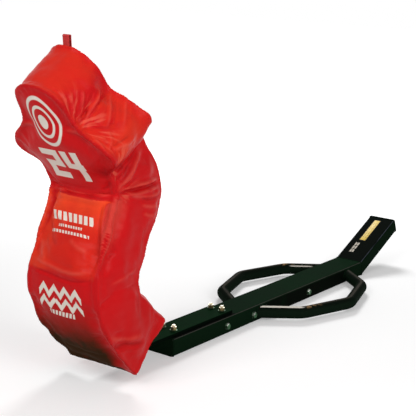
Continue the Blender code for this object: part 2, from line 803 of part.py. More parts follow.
def build():
    """Make every piece of the sled."""
    main_beam()
    tail()
    end_caps()
    side_loop("right_side_loop", 1)
    side_loop("left_side_loop", -1)
    spring_leaf()
    pad()
    head_strap()
    nut = nut_mesh()
    washer = ring_mesh("washer", WASHER_DIAMETER, BOLT_HOLE, WASHER_THICKNESS)
    clamp_bolts(nut, washer)
    cross_bolts(nut, washer)
    pad_hinge()


build()
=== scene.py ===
import math

import bmesh
import bpy
import numpy as np
from mathutils import Matrix, Vector


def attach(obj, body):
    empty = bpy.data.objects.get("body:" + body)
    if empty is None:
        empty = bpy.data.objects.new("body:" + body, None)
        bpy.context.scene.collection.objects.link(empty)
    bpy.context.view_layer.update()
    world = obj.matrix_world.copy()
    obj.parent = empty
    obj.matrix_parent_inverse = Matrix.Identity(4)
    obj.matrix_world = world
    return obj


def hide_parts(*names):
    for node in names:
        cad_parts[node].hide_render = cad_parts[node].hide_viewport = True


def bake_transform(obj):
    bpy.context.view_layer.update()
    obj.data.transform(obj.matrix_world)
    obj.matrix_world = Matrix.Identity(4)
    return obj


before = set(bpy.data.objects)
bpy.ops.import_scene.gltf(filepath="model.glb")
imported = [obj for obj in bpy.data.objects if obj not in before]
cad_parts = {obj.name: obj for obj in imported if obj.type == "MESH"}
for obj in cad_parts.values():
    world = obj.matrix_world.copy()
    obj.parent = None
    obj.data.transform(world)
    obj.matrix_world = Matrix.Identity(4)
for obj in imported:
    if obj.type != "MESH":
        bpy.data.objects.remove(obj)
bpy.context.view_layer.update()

# Camera, fitted to the beam, the tail and the loops
CAMERA_PLACE = Vector((2.1706, -3.4500, 1.3245))
CAMERA_AZIMUTH = math.radians(35.61)
CAMERA_ELEVATION = math.radians(12.83)
CAMERA_ROLL = math.radians(2.33)
CAMERA_VIEW = math.radians(21.97)

# Beam, loops and spring leaf, as in the part's source
FRONT_Y = -0.674
BEAM_WIDTH = 0.127
BEAM_HEIGHT = 0.0635
LOOP_TUBE = 0.0472
LOOP_SPAN = 0.686
LOOP_REACH = 0.201
LOOP_START = 0.538
LOOP_SHOULDER_RUN = 0.106
LOOP_SHOULDER_OUT = 0.128
LOOP_BEND_RADIUS = 0.085
LEAF_WIDTH = 0.095
LEAF_THICKNESS = 0.0127
LEAF_ON_BEAM = 0.372
LEAF_RISE_RADIUS = 0.100
LEAF_JOINS_LEAN = math.radians(-20.0)
LEAF_BELOW_TOP = 0.235
LEAF_MIDDLE = 0.07015
TAIL_RISE = math.radians(25.0)
TAIL_LENGTH = 0.330
BEAM_LENGTH = 1.348
TAIL_UP = Vector((0.0, -math.sin(TAIL_RISE), math.cos(TAIL_RISE)))
BEAM_CORNER = 0.0085
SEAT_GAP = 0.0003

# Weld beads: how thick they are round the loops and along seams, and the ripple of the loops' beads
LOOP_WELD = 0.0040
SEAM_WELD = 0.0024
WELD_RIPPLE = 0.0008

# Steps in which the leaf is drawn out along the beam, and round each bend
LEAF_FLAT_STEPS = 12
LEAF_BEND_STEPS = 10

# Half-inch bolts, nuts and washers, as in the part's source
BOLT_RADIUS = 0.00635
HEX_ACROSS = 0.01905
HEX_CORNER = HEX_ACROSS / 2 / math.cos(math.pi / 6)
HEAD_HEIGHT = 0.0079
NUT_HEIGHT = 0.0111
WASHER_RADIUS = 0.0135
WASHER_THICKNESS = 0.0024
BOLT_END = 0.007
CLAMP_HEAD_TOP = 0.05175
CLAMP_WASHER_LOW = 0.0768
CLAMP_NUT_LOW = 0.0795
CLAMP_GAUGE = 0.050
CLAMP_ROWS = {"front": 0.044, "rear": 0.333}
CROSS_ROWS = {"front": 0.314, "middle": 0.490, "rear": 0.893}

# Thread, turned-off corners and tip of a bolt, and how far the tool of a bore stands out at each end
THREAD_PITCH = 0.00195
THREAD_DEPTH = 0.0009
THREAD_RINGS = 8
HEX_CHAMFER = 0.0013
BOLT_TIP = 0.0008
TIP_SCALE = 0.86
BORE_SPARE = 0.001

# Label plate on the tail: across, and along the tail from its bend
LABEL_ACROSS = (-0.024, 0.0065)
LABEL_ALONG = (0.147, 0.306)
LABEL_THICKNESS = 0.0008
LABEL_LIFT = 0.0002
LABEL_BORDER = 0.0022
LABEL_BAR_PITCH = 0.014
RIVET_RADIUS = 0.0022
RIVET_FROM_END = 0.008

# Painted dashes between the bend and the label: their middles and size, across and along the tail
DASHES_ACROSS = (-0.0235, -0.0125)
DASHES_ALONG = (0.066, 0.091, 0.116)
DASH_SIZE = (0.0085, 0.021)
DASH_LIFT = 0.0001
DASH_THICKNESS = 0.0003

# Pad's spine, as in the part's source
PAD_FOOT_AHEAD = 0.223
PAD_FOOT_HEIGHT = 0.117
FOOT_LEAN = math.radians(-47.5)
FOOT_RUN = 0.165
BELLY_RADIUS = 0.161
BELLY_LEAN = math.radians(27.5)
BELLY_TURN = BELLY_LEAN - FOOT_LEAN
WAIST_RUN = 0.151
WAIST_RADIUS = 0.141
CHEST_LEAN = math.radians(-36.0)
WAIST_TURN = BELLY_LEAN - CHEST_LEAN
CHEST_RUN = 0.389
BELLY_START = FOOT_RUN
BELLY_END = BELLY_START + BELLY_RADIUS * BELLY_TURN
WAIST_START = BELLY_END + WAIST_RUN
WAIST_END = WAIST_START + WAIST_RADIUS * WAIST_TURN
SPINE_LENGTH = WAIST_END + CHEST_RUN

# Sewn edges of the cover: distance up the spine, half width, depth in front and depth behind
COVER_EDGES = [
    (0.000, 0.143, 0.106, 0.108),
    (0.030, 0.145, 0.106, 0.107),
    (0.060, 0.145, 0.106, 0.106),
    (0.090, 0.145, 0.104, 0.106),
    (0.120, 0.146, 0.102, 0.107),
    (0.150, 0.147, 0.098, 0.109),
    (0.180, 0.149, 0.094, 0.111),
    (0.210, 0.149, 0.092, 0.112),
    (0.240, 0.149, 0.093, 0.113),
    (0.270, 0.147, 0.096, 0.115),
    (0.300, 0.143, 0.100, 0.118),
    (0.330, 0.141, 0.102, 0.121),
    (0.360, 0.139, 0.101, 0.122),
    (0.390, 0.138, 0.101, 0.120),
    (0.420, 0.138, 0.104, 0.117),
    (0.450, 0.138, 0.109, 0.112),
    (0.480, 0.138, 0.114, 0.108),
    (0.510, 0.137, 0.119, 0.107),
    (0.540, 0.137, 0.123, 0.109),
    (0.570, 0.137, 0.124, 0.114),
    (0.600, 0.138, 0.122, 0.117),
    (0.630, 0.138, 0.119, 0.116),
    (0.660, 0.139, 0.113, 0.110),
    (0.690, 0.139, 0.104, 0.102),
    (0.720, 0.139, 0.098, 0.098),
    (0.745, 0.139, 0.096, 0.099),
    (0.765, 0.141, 0.096, 0.102),
    (0.782, 0.160, 0.098, 0.106),
    (0.798, 0.184, 0.100, 0.109),
    (0.815, 0.197, 0.102, 0.110),
    (0.835, 0.199, 0.104, 0.109),
    (0.855, 0.193, 0.105, 0.105),
    (0.875, 0.179, 0.105, 0.101),
    (0.900, 0.154, 0.105, 0.098),
    (0.925, 0.128, 0.103, 0.096),
    (0.945, 0.110, 0.100, 0.096),
    (0.965, 0.102, 0.098, 0.097),
    (0.990, 0.097, 0.097, 0.098),
    (1.020, 0.093, 0.096, 0.098),
    (1.040, 0.085, 0.096, 0.098),
    (1.055, 0.077, 0.096, 0.098),
    (1.066, 0.066, 0.096, 0.097),
    (1.075, 0.052, 0.096, 0.096),
    (1.081, 0.038, 0.096, 0.096),
    (1.085, 0.022, 0.096, 0.096),
    (1.0865, 0.000, 0.096, 0.096),
]
FRONT_CROWN = 0.012
SIDE_CROWN = 0.008
EDGE_STEP = 0.0005
EASED_STEPS = 40
COVER_INSET = 0.004
COVER_VOXEL = 0.0068
SEAM_HOLD = 0.022
SWELL_AT_SEAM = 0.003
SWELL_BETWEEN = 0.014

# Folds of the side panels: height, width, and their line as distance up the spine and depth
SIDE_FOLDS = [
    (0.0075, 0.0090, [(0.694, -0.106), (0.699, -0.057), (0.704, -0.024), (0.715, 0.005),
                      (0.718, 0.038), (0.713, 0.073)]),
    (0.0070, 0.0070, [(0.694, -0.104), (0.666, -0.059), (0.642, -0.005), (0.631, 0.042), (0.623, 0.090)]),
    (-0.0060, 0.0060, [(0.685, -0.100), (0.650, -0.066), (0.626, -0.008), (0.620, 0.039), (0.616, 0.098)]),
    (0.0060, 0.0065, [(0.650, -0.078), (0.614, -0.029), (0.613, -0.003), (0.610, 0.055), (0.606, 0.087)]),
    (0.0045, 0.0060, [(0.640, -0.070), (0.602, -0.029), (0.597, 0.022), (0.596, 0.061), (0.599, 0.090)]),
    (-0.0045, 0.0060, [(0.600, -0.020), (0.586, 0.023), (0.587, 0.055), (0.591, 0.092)]),
    (0.0035, 0.0080, [(0.572, -0.010), (0.568, 0.034), (0.571, 0.080)]),
    (0.0030, 0.0085, [(0.549, 0.005), (0.546, 0.033), (0.553, 0.084)]),
    (0.0030, 0.0060, [(0.662, -0.100), (0.639, -0.096), (0.590, -0.074), (0.570, -0.070)]),
    (-0.0080, 0.0110, [(0.748, -0.104), (0.752, -0.070), (0.757, -0.020), (0.760, 0.040), (0.757, 0.096)]),
    (-0.0035, 0.0080, [(0.726, -0.100), (0.722, -0.050), (0.735, 0.000), (0.742, 0.060)]),
    (-0.0045, 0.0100, [(0.188, -0.100), (0.150, -0.078), (0.115, -0.045), (0.060, -0.006)]),
    (0.0030, 0.0110, [(0.206, -0.090), (0.170, -0.062), (0.130, -0.028), (0.085, 0.010)]),
    (0.0020, 0.0070, [(0.317, -0.050), (0.340, 0.010), (0.395, 0.085)]),
    (0.0044, 0.0048, [(1.008, -0.004), (0.996, -0.014), (0.979, -0.033), (0.959, -0.057), (0.940, -0.090)]),
    (0.0040, 0.0052, [(0.975, 0.052), (0.957, 0.020), (0.946, -0.030), (0.938, -0.076), (0.932, -0.102)]),
    (-0.0034, 0.0050, [(0.985, 0.022), (0.966, -0.012), (0.951, -0.048), (0.936, -0.092)]),
    (-0.0028, 0.0050, [(0.958, 0.050), (0.941, 0.000), (0.932, -0.050), (0.926, -0.098)]),
    (0.0030, 0.0055, [(1.034, -0.040), (1.018, -0.050), (0.984, -0.066), (0.950, -0.096)]),
    (0.0038, 0.0055, [(0.945, 0.082), (0.930, 0.052), (0.918, 0.020), (0.903, -0.017), (0.898, -0.040)]),
    (-0.0035, 0.0060, [(0.925, 0.075), (0.912, 0.040), (0.898, 0.005), (0.888, -0.030)]),
    (0.0032, 0.0065, [(0.908, 0.090), (0.896, 0.060), (0.884, 0.030), (0.874, 0.000)]),
    (0.0040, 0.0060, [(0.905, -0.088), (0.884, -0.094), (0.868, -0.102)]),
    (0.0032, 0.0055, [(0.892, -0.040), (0.871, -0.060), (0.862, -0.092)]),
    (0.0034, 0.0065, [(0.852, -0.080), (0.844, -0.053), (0.828, -0.022), (0.818, 0.020)]),
    (-0.0030, 0.0065, [(0.860, -0.070), (0.852, -0.040), (0.842, 0.000)]),
    (0.0030, 0.0080, [(0.690, -0.108), (0.620, -0.110), (0.522, -0.105), (0.479, -0.102),
                      (0.444, -0.097), (0.400, -0.090), (0.345, -0.090)]),
]

# Folds of the front and back panels: height, width, and their line as distance up the spine and across
FRONT_FOLDS = [
    (-0.0050, 0.0080, [(0.640, -0.150), (0.621, -0.120), (0.616, -0.084), (0.613, -0.009),
                       (0.620, 0.056), (0.650, 0.105), (0.688, 0.134)]),
    (0.0042, 0.0120, [(0.664, -0.140), (0.645, -0.100), (0.640, -0.040), (0.642, 0.030),
                      (0.660, 0.085), (0.690, 0.125)]),
    (0.0036, 0.0100, [(0.596, -0.130), (0.592, -0.080), (0.588, -0.010), (0.596, 0.060), (0.628, 0.118)]),
    (-0.0034, 0.0060, [(0.328, -0.138), (0.324, -0.070), (0.319, 0.000), (0.318, 0.060),
                       (0.324, 0.110), (0.332, 0.142)]),
    (0.0036, 0.0080, [(0.345, -0.130), (0.339, -0.060), (0.333, 0.000), (0.333, 0.060), (0.342, 0.128)]),
    (0.0034, 0.0095, [(0.500, -0.100), (0.476, -0.077), (0.449, -0.030), (0.420, -0.010)]),
    (0.0030, 0.0110, [(0.392, -0.120), (0.367, -0.103), (0.341, -0.060)]),
    (-0.0024, 0.0100, [(0.470, -0.110), (0.430, -0.090), (0.390, -0.060), (0.372, -0.020)]),
    (0.0026, 0.0110, [(0.405, 0.010), (0.380, 0.050), (0.372, 0.095)]),
    (-0.0034, 0.0050, [(0.610, 0.124), (0.565, 0.105), (0.522, 0.098), (0.477, 0.098), (0.440, 0.104),
                       (0.404, 0.114), (0.350, 0.126)]),
    (0.0030, 0.0042, [(0.612, 0.134), (0.565, 0.116), (0.522, 0.109), (0.477, 0.109), (0.440, 0.114),
                      (0.404, 0.124), (0.350, 0.134)]),
    (-0.0026, 0.0065, [(0.600, -0.126), (0.550, -0.112), (0.490, -0.108), (0.430, -0.115),
                       (0.370, -0.130)]),
    (0.0022, 0.0070, [(0.600, -0.136), (0.550, -0.125), (0.490, -0.122), (0.430, -0.128), (0.370, -0.139)]),
    (-0.0030, 0.0070, [(0.700, 0.090), (0.712, 0.118), (0.740, 0.134)]),
    (-0.0030, 0.0070, [(0.700, -0.088), (0.714, -0.118), (0.742, -0.134)]),
    (0.0026, 0.0070, [(0.918, 0.120), (0.928, 0.092), (0.934, 0.060)]),
    (0.0026, 0.0070, [(0.922, -0.124), (0.930, -0.094), (0.936, -0.062)]),
    (-0.0026, 0.0100, [(0.140, -0.120), (0.122, -0.060), (0.128, 0.010), (0.118, 0.080), (0.132, 0.130)]),
]
BACK_FOLDS = [
    (-0.0070, 0.0080, [(0.318, -0.140), (0.322, -0.080), (0.316, 0.000), (0.322, 0.080), (0.317, 0.140)]),
    (0.0045, 0.0090, [(0.345, -0.135), (0.348, -0.060), (0.343, 0.030), (0.350, 0.132)]),
    (0.0040, 0.0090, [(0.292, -0.135), (0.290, -0.050), (0.294, 0.050), (0.288, 0.135)]),
    (-0.0045, 0.0080, [(0.262, -0.140), (0.268, -0.060), (0.260, 0.020), (0.268, 0.090)]),
    (-0.0035, 0.0075, [(0.372, 0.140), (0.376, 0.070), (0.370, 0.000)]),
    (0.0030, 0.0100, [(0.600, 0.120), (0.560, 0.060), (0.520, 0.040)]),
    (0.0030, 0.0100, [(0.640, -0.120), (0.590, -0.080), (0.550, -0.050)]),
    (-0.0040, 0.0090, [(0.935, -0.112), (0.938, -0.050), (0.934, 0.010), (0.940, 0.070), (0.934, 0.114)]),
    (0.0035, 0.0080, [(0.958, -0.100), (0.960, -0.030), (0.956, 0.050), (0.958, 0.100)]),
    (-0.0035, 0.0085, [(0.756, -0.138), (0.748, -0.070), (0.754, 0.010), (0.748, 0.080), (0.757, 0.138)]),
]
BELLY_RIDGE = (
    (0.350, 0.404, 0.440, 0.477, 0.522, 0.565, 0.612),
    (0.134, 0.124, 0.114, 0.109, 0.109, 0.116, 0.134),
)
FAR_SIDE_FOLD = 0.85
EDGE_REACH = 0.015
CORNER_REACH = 0.024
REAR_TUCK = 0.011
CROWN_PUSH = 0.010
NECK_EASE = 0.62
GROOVE_DEPTH = 0.0020
GROOVE_WIDTH = 0.0052
ROLL_HEIGHT = 0.0012
ROLL_OFF = 0.0110
ROLL_WIDTH = 0.0060
RIDGE = 0.0022
RIDGE_WIDTH = 0.0038
PUCKER = 0.0008
PUCKER_PITCH = 0.034
PUCKER_REACH = 0.020
FOLD_STOPS = 40
SLACK_WIDE = 0.0024
SLACK_FINE = 0.0004
FOAM_INSET = 0.019
FOAM_VOXEL = 0.014

# Strap: its web, and the loop that stands on the rear of the head
STRAP_WIDTH = 0.0254
STRAP_THICKNESS = 0.0028
STRAP_HEIGHT = 0.038
STRAP_FOLD = 0.0058
STRAP_LEAN = math.radians(-6.0)
STRAP_BEHIND_SPINE = 0.086
STRAP_SUNK = 0.004

# Light: fill from the surroundings, and the floor's glow near the sled and far from it
FILL = 0.22
GLOW_NEAR = 0.28
GLOW_FAR = 0.85

# Where the side panels are gathered: distance up the spine, depth, and how far the creases reach
GATHERS = ((0.945, -0.105, 0.150), (0.775, -0.100, 0.120), (0.690, -0.108, 0.130))

# White prints on the front of the cover, in metres up the spine and across it
INK_EDGE = 0.0007
TARGET_MIDDLE = 0.962
NUMBER_LOW = 0.732
NUMBER_HIGH = 0.856
NUMBER_STROKE = 0.025
NUMBER_LEFT = -0.076
DIGIT_WIDTH = 0.070
DIGIT_GAP = 0.012
CHEVRON_PITCH = 0.044
CHEVRON_RISE = 0.034
CHEVRON_HEIGHTS = (0.292, 0.268)
CHEVRON_THICKNESS = 0.013

# Rows of slanted dashes: half length, bottom, top, pitch and slant
DASH_ROWS = (
    (0.084, 0.452, 0.478, 0.021, 0.35),
    (0.050, 0.433, 0.441, 0.011, 0.35),
    (0.078, 0.414, 0.423, 0.013, 0.35),
)
LOWEST_DASHES = (0.050, 0.241, 0.251, 0.014, -0.4)


# Numbers and finishes

class Reading:
    """One number read by a finish. Sums with it add Math nodes."""

    def __init__(self, finish, socket):
        self.finish = finish
        self.socket = socket

    def maths(self, operation, first, second=None):
        values = {0: first}
        if second is not None:
            values[1] = second
        return self.finish.read("ShaderNodeMath", {"operation": operation}, values)

    def __add__(self, other):
        return self.maths("ADD", self, other)

    def __radd__(self, other):
        return self.maths("ADD", other, self)

    def __sub__(self, other):
        return self.maths("SUBTRACT", self, other)

    def __rsub__(self, other):
        return self.maths("SUBTRACT", other, self)

    def __mul__(self, other):
        return self.maths("MULTIPLY", self, other)

    def __rmul__(self, other):
        return self.maths("MULTIPLY", other, self)

    def __truediv__(self, other):
        return self.maths("DIVIDE", self, other)

    def __abs__(self):
        return self.maths("ABSOLUTE", self)

    def above(self, edge, soft):
        """0 below the edge and 1 above it, with a soft step."""
        settings = {"interpolation_type": "SMOOTHSTEP"}
        values = {"Value": self, "From Min": edge - soft, "From Max": edge + soft}
        return self.finish.read("ShaderNodeMapRange", settings, values)

    def below(self, edge, soft):
        return 1 - self.above(edge, soft)

    def at_most(self, other):
        return self.maths("MINIMUM", self, other)

    def at_least(self, other):
        return self.maths("MAXIMUM", self, other)

    def wave(self):
        return self.maths("SINE", self)

    def fraction(self):
        return self.maths("FRACT", self)

    def root(self):
        return self.maths("SQRT", self)


class Finish:
    """A node material, named for the surface that it is for."""

    def __init__(self, name):
        self.material = bpy.data.materials.new(name)
        self.material.use_nodes = True
        self.tree = self.material.node_tree
        self.surface = self.tree.nodes["Principled BSDF"]

    def node(self, kind, settings=None, values=None):
        made = self.tree.nodes.new(kind)
        for name, value in (settings or {}).items():
            setattr(made, name, value)
        for name, value in (values or {}).items():
            self.put(made.inputs[name], value)
        return made

    def put(self, socket, value):
        if isinstance(value, Reading):
            value = value.socket
        if isinstance(value, bpy.types.NodeSocket):
            self.tree.links.new(value, socket)
        else:
            socket.default_value = value

    def read(self, kind, settings=None, values=None, output=0):
        return Reading(self, self.node(kind, settings, values).outputs[output])

    def place(self):
        return self.node("ShaderNodeTexCoord").outputs["Object"]

    def stretched(self, place, scale):
        return self.node("ShaderNodeMapping", None, {"Vector": place, "Scale": scale}).outputs[0]

    def parts(self, vector, count):
        """The first parts of a vector."""
        split = self.node("ShaderNodeSeparateXYZ", None, {0: vector})
        return [Reading(self, split.outputs[index]) for index in range(count)]

    def held(self, name, count):
        """The first parts of a vector that the mesh holds at each of its points."""
        return self.parts(self.node("ShaderNodeAttribute", {"attribute_name": name}).outputs["Vector"], count)

    def facing(self, way):
        """How squarely the flat faces look the given way, up to 1."""
        flat = self.node("ShaderNodeNewGeometry").outputs["True Normal"]
        return self.read("ShaderNodeVectorMath", {"operation": "DOT_PRODUCT"}, {0: flat, 1: way}, "Value")

    def noise(self, place, scale, detail=3.0, roughness=0.55):
        values = {"Vector": place, "Scale": scale, "Detail": detail, "Roughness": roughness}
        return self.read("ShaderNodeTexNoise", None, values)

    def cells(self, place, scale):
        return self.read("ShaderNodeTexVoronoi", None, {"Vector": place, "Scale": scale}, "Distance")

    def mixed(self, share, first, second):
        """Colour that goes from the first to the second with the share."""
        values = {0: share, 6: first, 7: second}
        return self.node("ShaderNodeMix", {"data_type": "RGBA"}, values).outputs[2]

    def bumped(self, height, distance, strength=1.0, under=None):
        values = {"Height": height, "Distance": distance, "Strength": strength}
        if under is not None:
            values["Normal"] = under
        return self.node("ShaderNodeBump", None, values).outputs[0]

    def finish_with(self, **values):
        for name, value in values.items():
            self.put(self.surface.inputs[name.replace("_", " ")], value)
        return self.material


def green_enamel(name, base, scuffed, up=(0.0, 0.0, 1.0), edge=(0.60, 0.84), rub_highlight=(0.075, 0.068, 0.062),
                 side=(0.0040, 0.0125, 0.0056), highlights_and_wear=None, stain=None):
    """Dark green enamel on steel, dusty in patches, with painted shade and light: faces turned away from up
    take the side colour. Along the edge band of facing it has a pale line, a painted highlight with some
    wear.
    """
    finish = Finish(name)
    place = finish.place()
    clouds = finish.noise(place, 5.0, 5.0)
    fine = finish.noise(place, 60.0, 4.0)
    scuffs = finish.noise(finish.stretched(place, (60.0, 9.0, 60.0)), 1.6, 8.0, 0.7)
    worn = scuffs.above(0.70 - 0.05 * scuffed, 0.03) * clouds.above(0.48, 0.1)
    facing = finish.facing(up)
    low, high = edge
    # Pale line where the facing lies within the edge band, in cloudy patches: a painted highlight along edges
    # and tube tops, with some wear.
    rubbed_highlight = facing.above(low, 0.03) * facing.below(high, 0.03) * clouds.above(0.36, 0.12)
    dusty = (clouds * 0.6 + fine * 0.4).above(0.52, 0.16)
    dark = (base[0] * 0.62, base[1] * 0.66, base[2] * 0.62, 1)
    color = finish.mixed(dusty * 0.8, dark, (*base, 1))
    # Painted light and shade: faces turned away from up take the side colour, a differently lit copy of the
    # enamel.
    color = finish.mixed(facing.below(0.6, 0.3) * 0.9, color, (*side, 1))
    color = finish.mixed(worn * 0.5, color, (0.030, 0.044, 0.032, 1))
    color = finish.mixed(rubbed_highlight * (0.45 + fine * 0.5), color, (*rub_highlight, 1))
    # The stain function adds near-black: on the beam, painted shadow beside the leaf and darker patches on
    # its sides.
    if stain:
        color = finish.mixed(stain(finish, place, facing), color, (0.0035, 0.0042, 0.0033, 1))
    if highlights_and_wear:
        white, brown = highlights_and_wear(finish, place, facing)
        color = finish.mixed(brown, color, (0.240, 0.150, 0.070, 1))
        # Pale painted highlight lines on the loops.
        color = finish.mixed(white, color, (0.72, 0.68, 0.60, 1))
    peel = finish.bumped(fine, 0.0004, 0.35)
    rough = 0.46 + dusty * 0.12 + worn * 0.15
    return finish.finish_with(Base_Color=color, Roughness=rough, Normal=peel, Specular_IOR_Level=0.0012)


def loop_highlights_and_wear(finish, place, facing):
    """Painted highlight lines on the loops near two of their roots, and brown patches of worn metal at the
    bends beside them.
    """
    across, along = finish.parts(place, 2)
    near = across.above(0.0, 0.01)
    far = across.below(0.0, 0.01)
    front_bend = FRONT_Y + LOOP_START + LOOP_SHOULDER_RUN
    rear_bend = FRONT_Y + LOOP_START + LOOP_SPAN - LOOP_SHOULDER_RUN
    speckle = finish.noise(place, 55.0, 4.0).above(0.50, 0.05)
    # Painted highlights: a line along the top of the near loop's front run, and a line on the far loop's
    # upper side near its rear bend.
    white = near * along.below(front_bend - 0.004, 0.008) * facing.above(0.925, 0.02)
    low_line = facing.above(0.62, 0.03) * facing.below(0.76, 0.03)
    far_run = along.above(rear_bend + 0.002, 0.006) * along.below(rear_bend + 0.062, 0.006)
    white = white.at_least(far * far_run * low_line)
    brown = near * along.above(front_bend - 0.004, 0.01) * along.below(front_bend + 0.070, 0.02)
    brown = brown.at_least(far * along.above(rear_bend - 0.030, 0.01) * along.below(rear_bend + 0.014, 0.01))
    return white, brown * facing.above(0.86, 0.05) * speckle


def leaf_shadow_and_patches(finish, place, facing):
    """Painted shadow on the beam's top beside the leaf, and darker patches on the beam's sides between the
    roots of the loops.
    """
    along = finish.parts(place, 2)[1]
    first_root = FRONT_Y + LOOP_START
    # Painted shadow of the leaf on the beam's top beside it.
    leaf_shadow = facing.above(0.95, 0.03) * along.below(FRONT_Y + LEAF_ON_BEAM + 0.004, 0.006)
    between = along.above(first_root + 0.03, 0.04) * along.below(first_root + LOOP_SPAN, 0.05)
    low = finish.noise(place, 6.0, 3.0).above(0.36, 0.10)
    return leaf_shadow.at_least(facing.below(0.4, 0.2) * between * low * 0.85)


def zinc_plate(name, highlight_color, dull, grime_color, up, lit):
    """Zinc plating with a painted highlight where it faces up and painted shade on its sides, dirty in
    patches.
    """
    finish = Finish(name)
    place = finish.place()
    patches = finish.noise(place, 90.0, 5.0)
    grime = finish.noise(place, 42.0, 4.0).above(0.52, 0.10)
    # Painted highlight on faces turned toward up, painted shade in the dull colour on the others.
    color = finish.mixed(finish.facing(up).above(*lit) * (0.55 + patches * 0.9), dull, highlight_color)
    color = finish.mixed(grime * 0.75, color, grime_color)
    rough = 0.26 + patches * 0.18 + grime * 0.25
    grain = finish.bumped(patches, 0.0005, 0.4)
    return finish.finish_with(Base_Color=color, Metallic=0.90, Roughness=rough, Normal=grain)


def block_print(across, up):
    """Share of white ink: a target, the plain number 24, dashes and chevrons."""
    def band(value, low, high):
        return value.above(low, INK_EDGE) * value.below(high, INK_EDGE)

    def block(left, right, bottom, top):
        return band(across, left, right) * band(up, bottom, top)

    def ring(half_across, half_up, width):
        """Oval ring round the middle of the head."""
        flat = across / half_across
        tall = (up - TARGET_MIDDLE) / half_up
        reach = (flat * flat + tall * tall).root()
        return reach.below(1.0, 0.02) * reach.above(1.0 - width / half_across, 0.02)

    def dashes(half_length, bottom, top, pitch, slant):
        """A row of slanted dashes, as long on both sides."""
        step = ((across + up * slant) / pitch).fraction()
        return block(-half_length, half_length, bottom, top) * step.below(0.66, 0.05)

    ink = ring(0.057, 0.088, 0.008)
    ink = ink.at_least(ring(0.037, 0.057, 0.007))
    ink = ink.at_least(ring(0.016, 0.025, 0.016))
    low, high, stroke = NUMBER_LOW, NUMBER_HIGH, NUMBER_STROKE
    middle = (low + high) / 2
    left = NUMBER_LEFT
    right = left + DIGIT_WIDTH
    two = [
        (left, right, high - stroke, high),
        (right - stroke, right, middle, high),
        (left, right, middle - stroke / 2, middle + stroke / 2),
        (left, left + stroke, low, middle),
        (left, right, low, low + stroke),
    ]
    left, right = right + DIGIT_GAP, right + DIGIT_GAP + DIGIT_WIDTH
    four = [
        (left, left + stroke, middle, high),
        (left, right, middle - stroke / 2, middle + stroke / 2),
        (right - stroke * 1.2, right - stroke * 0.2, low, high),
    ]
    for sides in two + four:
        ink = ink.at_least(block(*sides))
    for row in DASH_ROWS:
        ink = ink.at_least(dashes(*row))
    zigzag = abs((across / CHEVRON_PITCH).fraction() - 0.5) * CHEVRON_RISE
    for height in CHEVRON_HEIGHTS:
        rows = band(up + zigzag, height, height + CHEVRON_THICKNESS)
        ink = ink.at_least(band(across, -2 * CHEVRON_PITCH, 2 * CHEVRON_PITCH) * rows)
    return ink.at_least(dashes(*LOWEST_DASHES))


def gathered_creases(finish, up, depth):
    """Fine creases on the side panels, fanned out from the spots at which the vinyl is gathered."""
    creases = None
    total = None
    for number, (height, behind, far) in enumerate(GATHERS):
        rise = up - height
        run = depth - behind
        angle = rise.maths("ARCTAN2", rise, run)
        reach = (rise * rise + run * run).root()
        place = finish.node("ShaderNodeCombineXYZ", None, {0: angle * 4.5, 1: reach * 9.0, 2: number * 3.0})
        fan = finish.noise(place.outputs[0], 1.0, 3.0, 0.5)
        share = reach.below(far * 0.7, far * 0.3) * reach.above(0.026, 0.012)
        creases = fan * share if creases is None else creases + fan * share
        total = share if total is None else total + share
    side = depth.above(-0.086, 0.008)
    return creases / total.at_least(0.001), total.at_most(1.0) * side


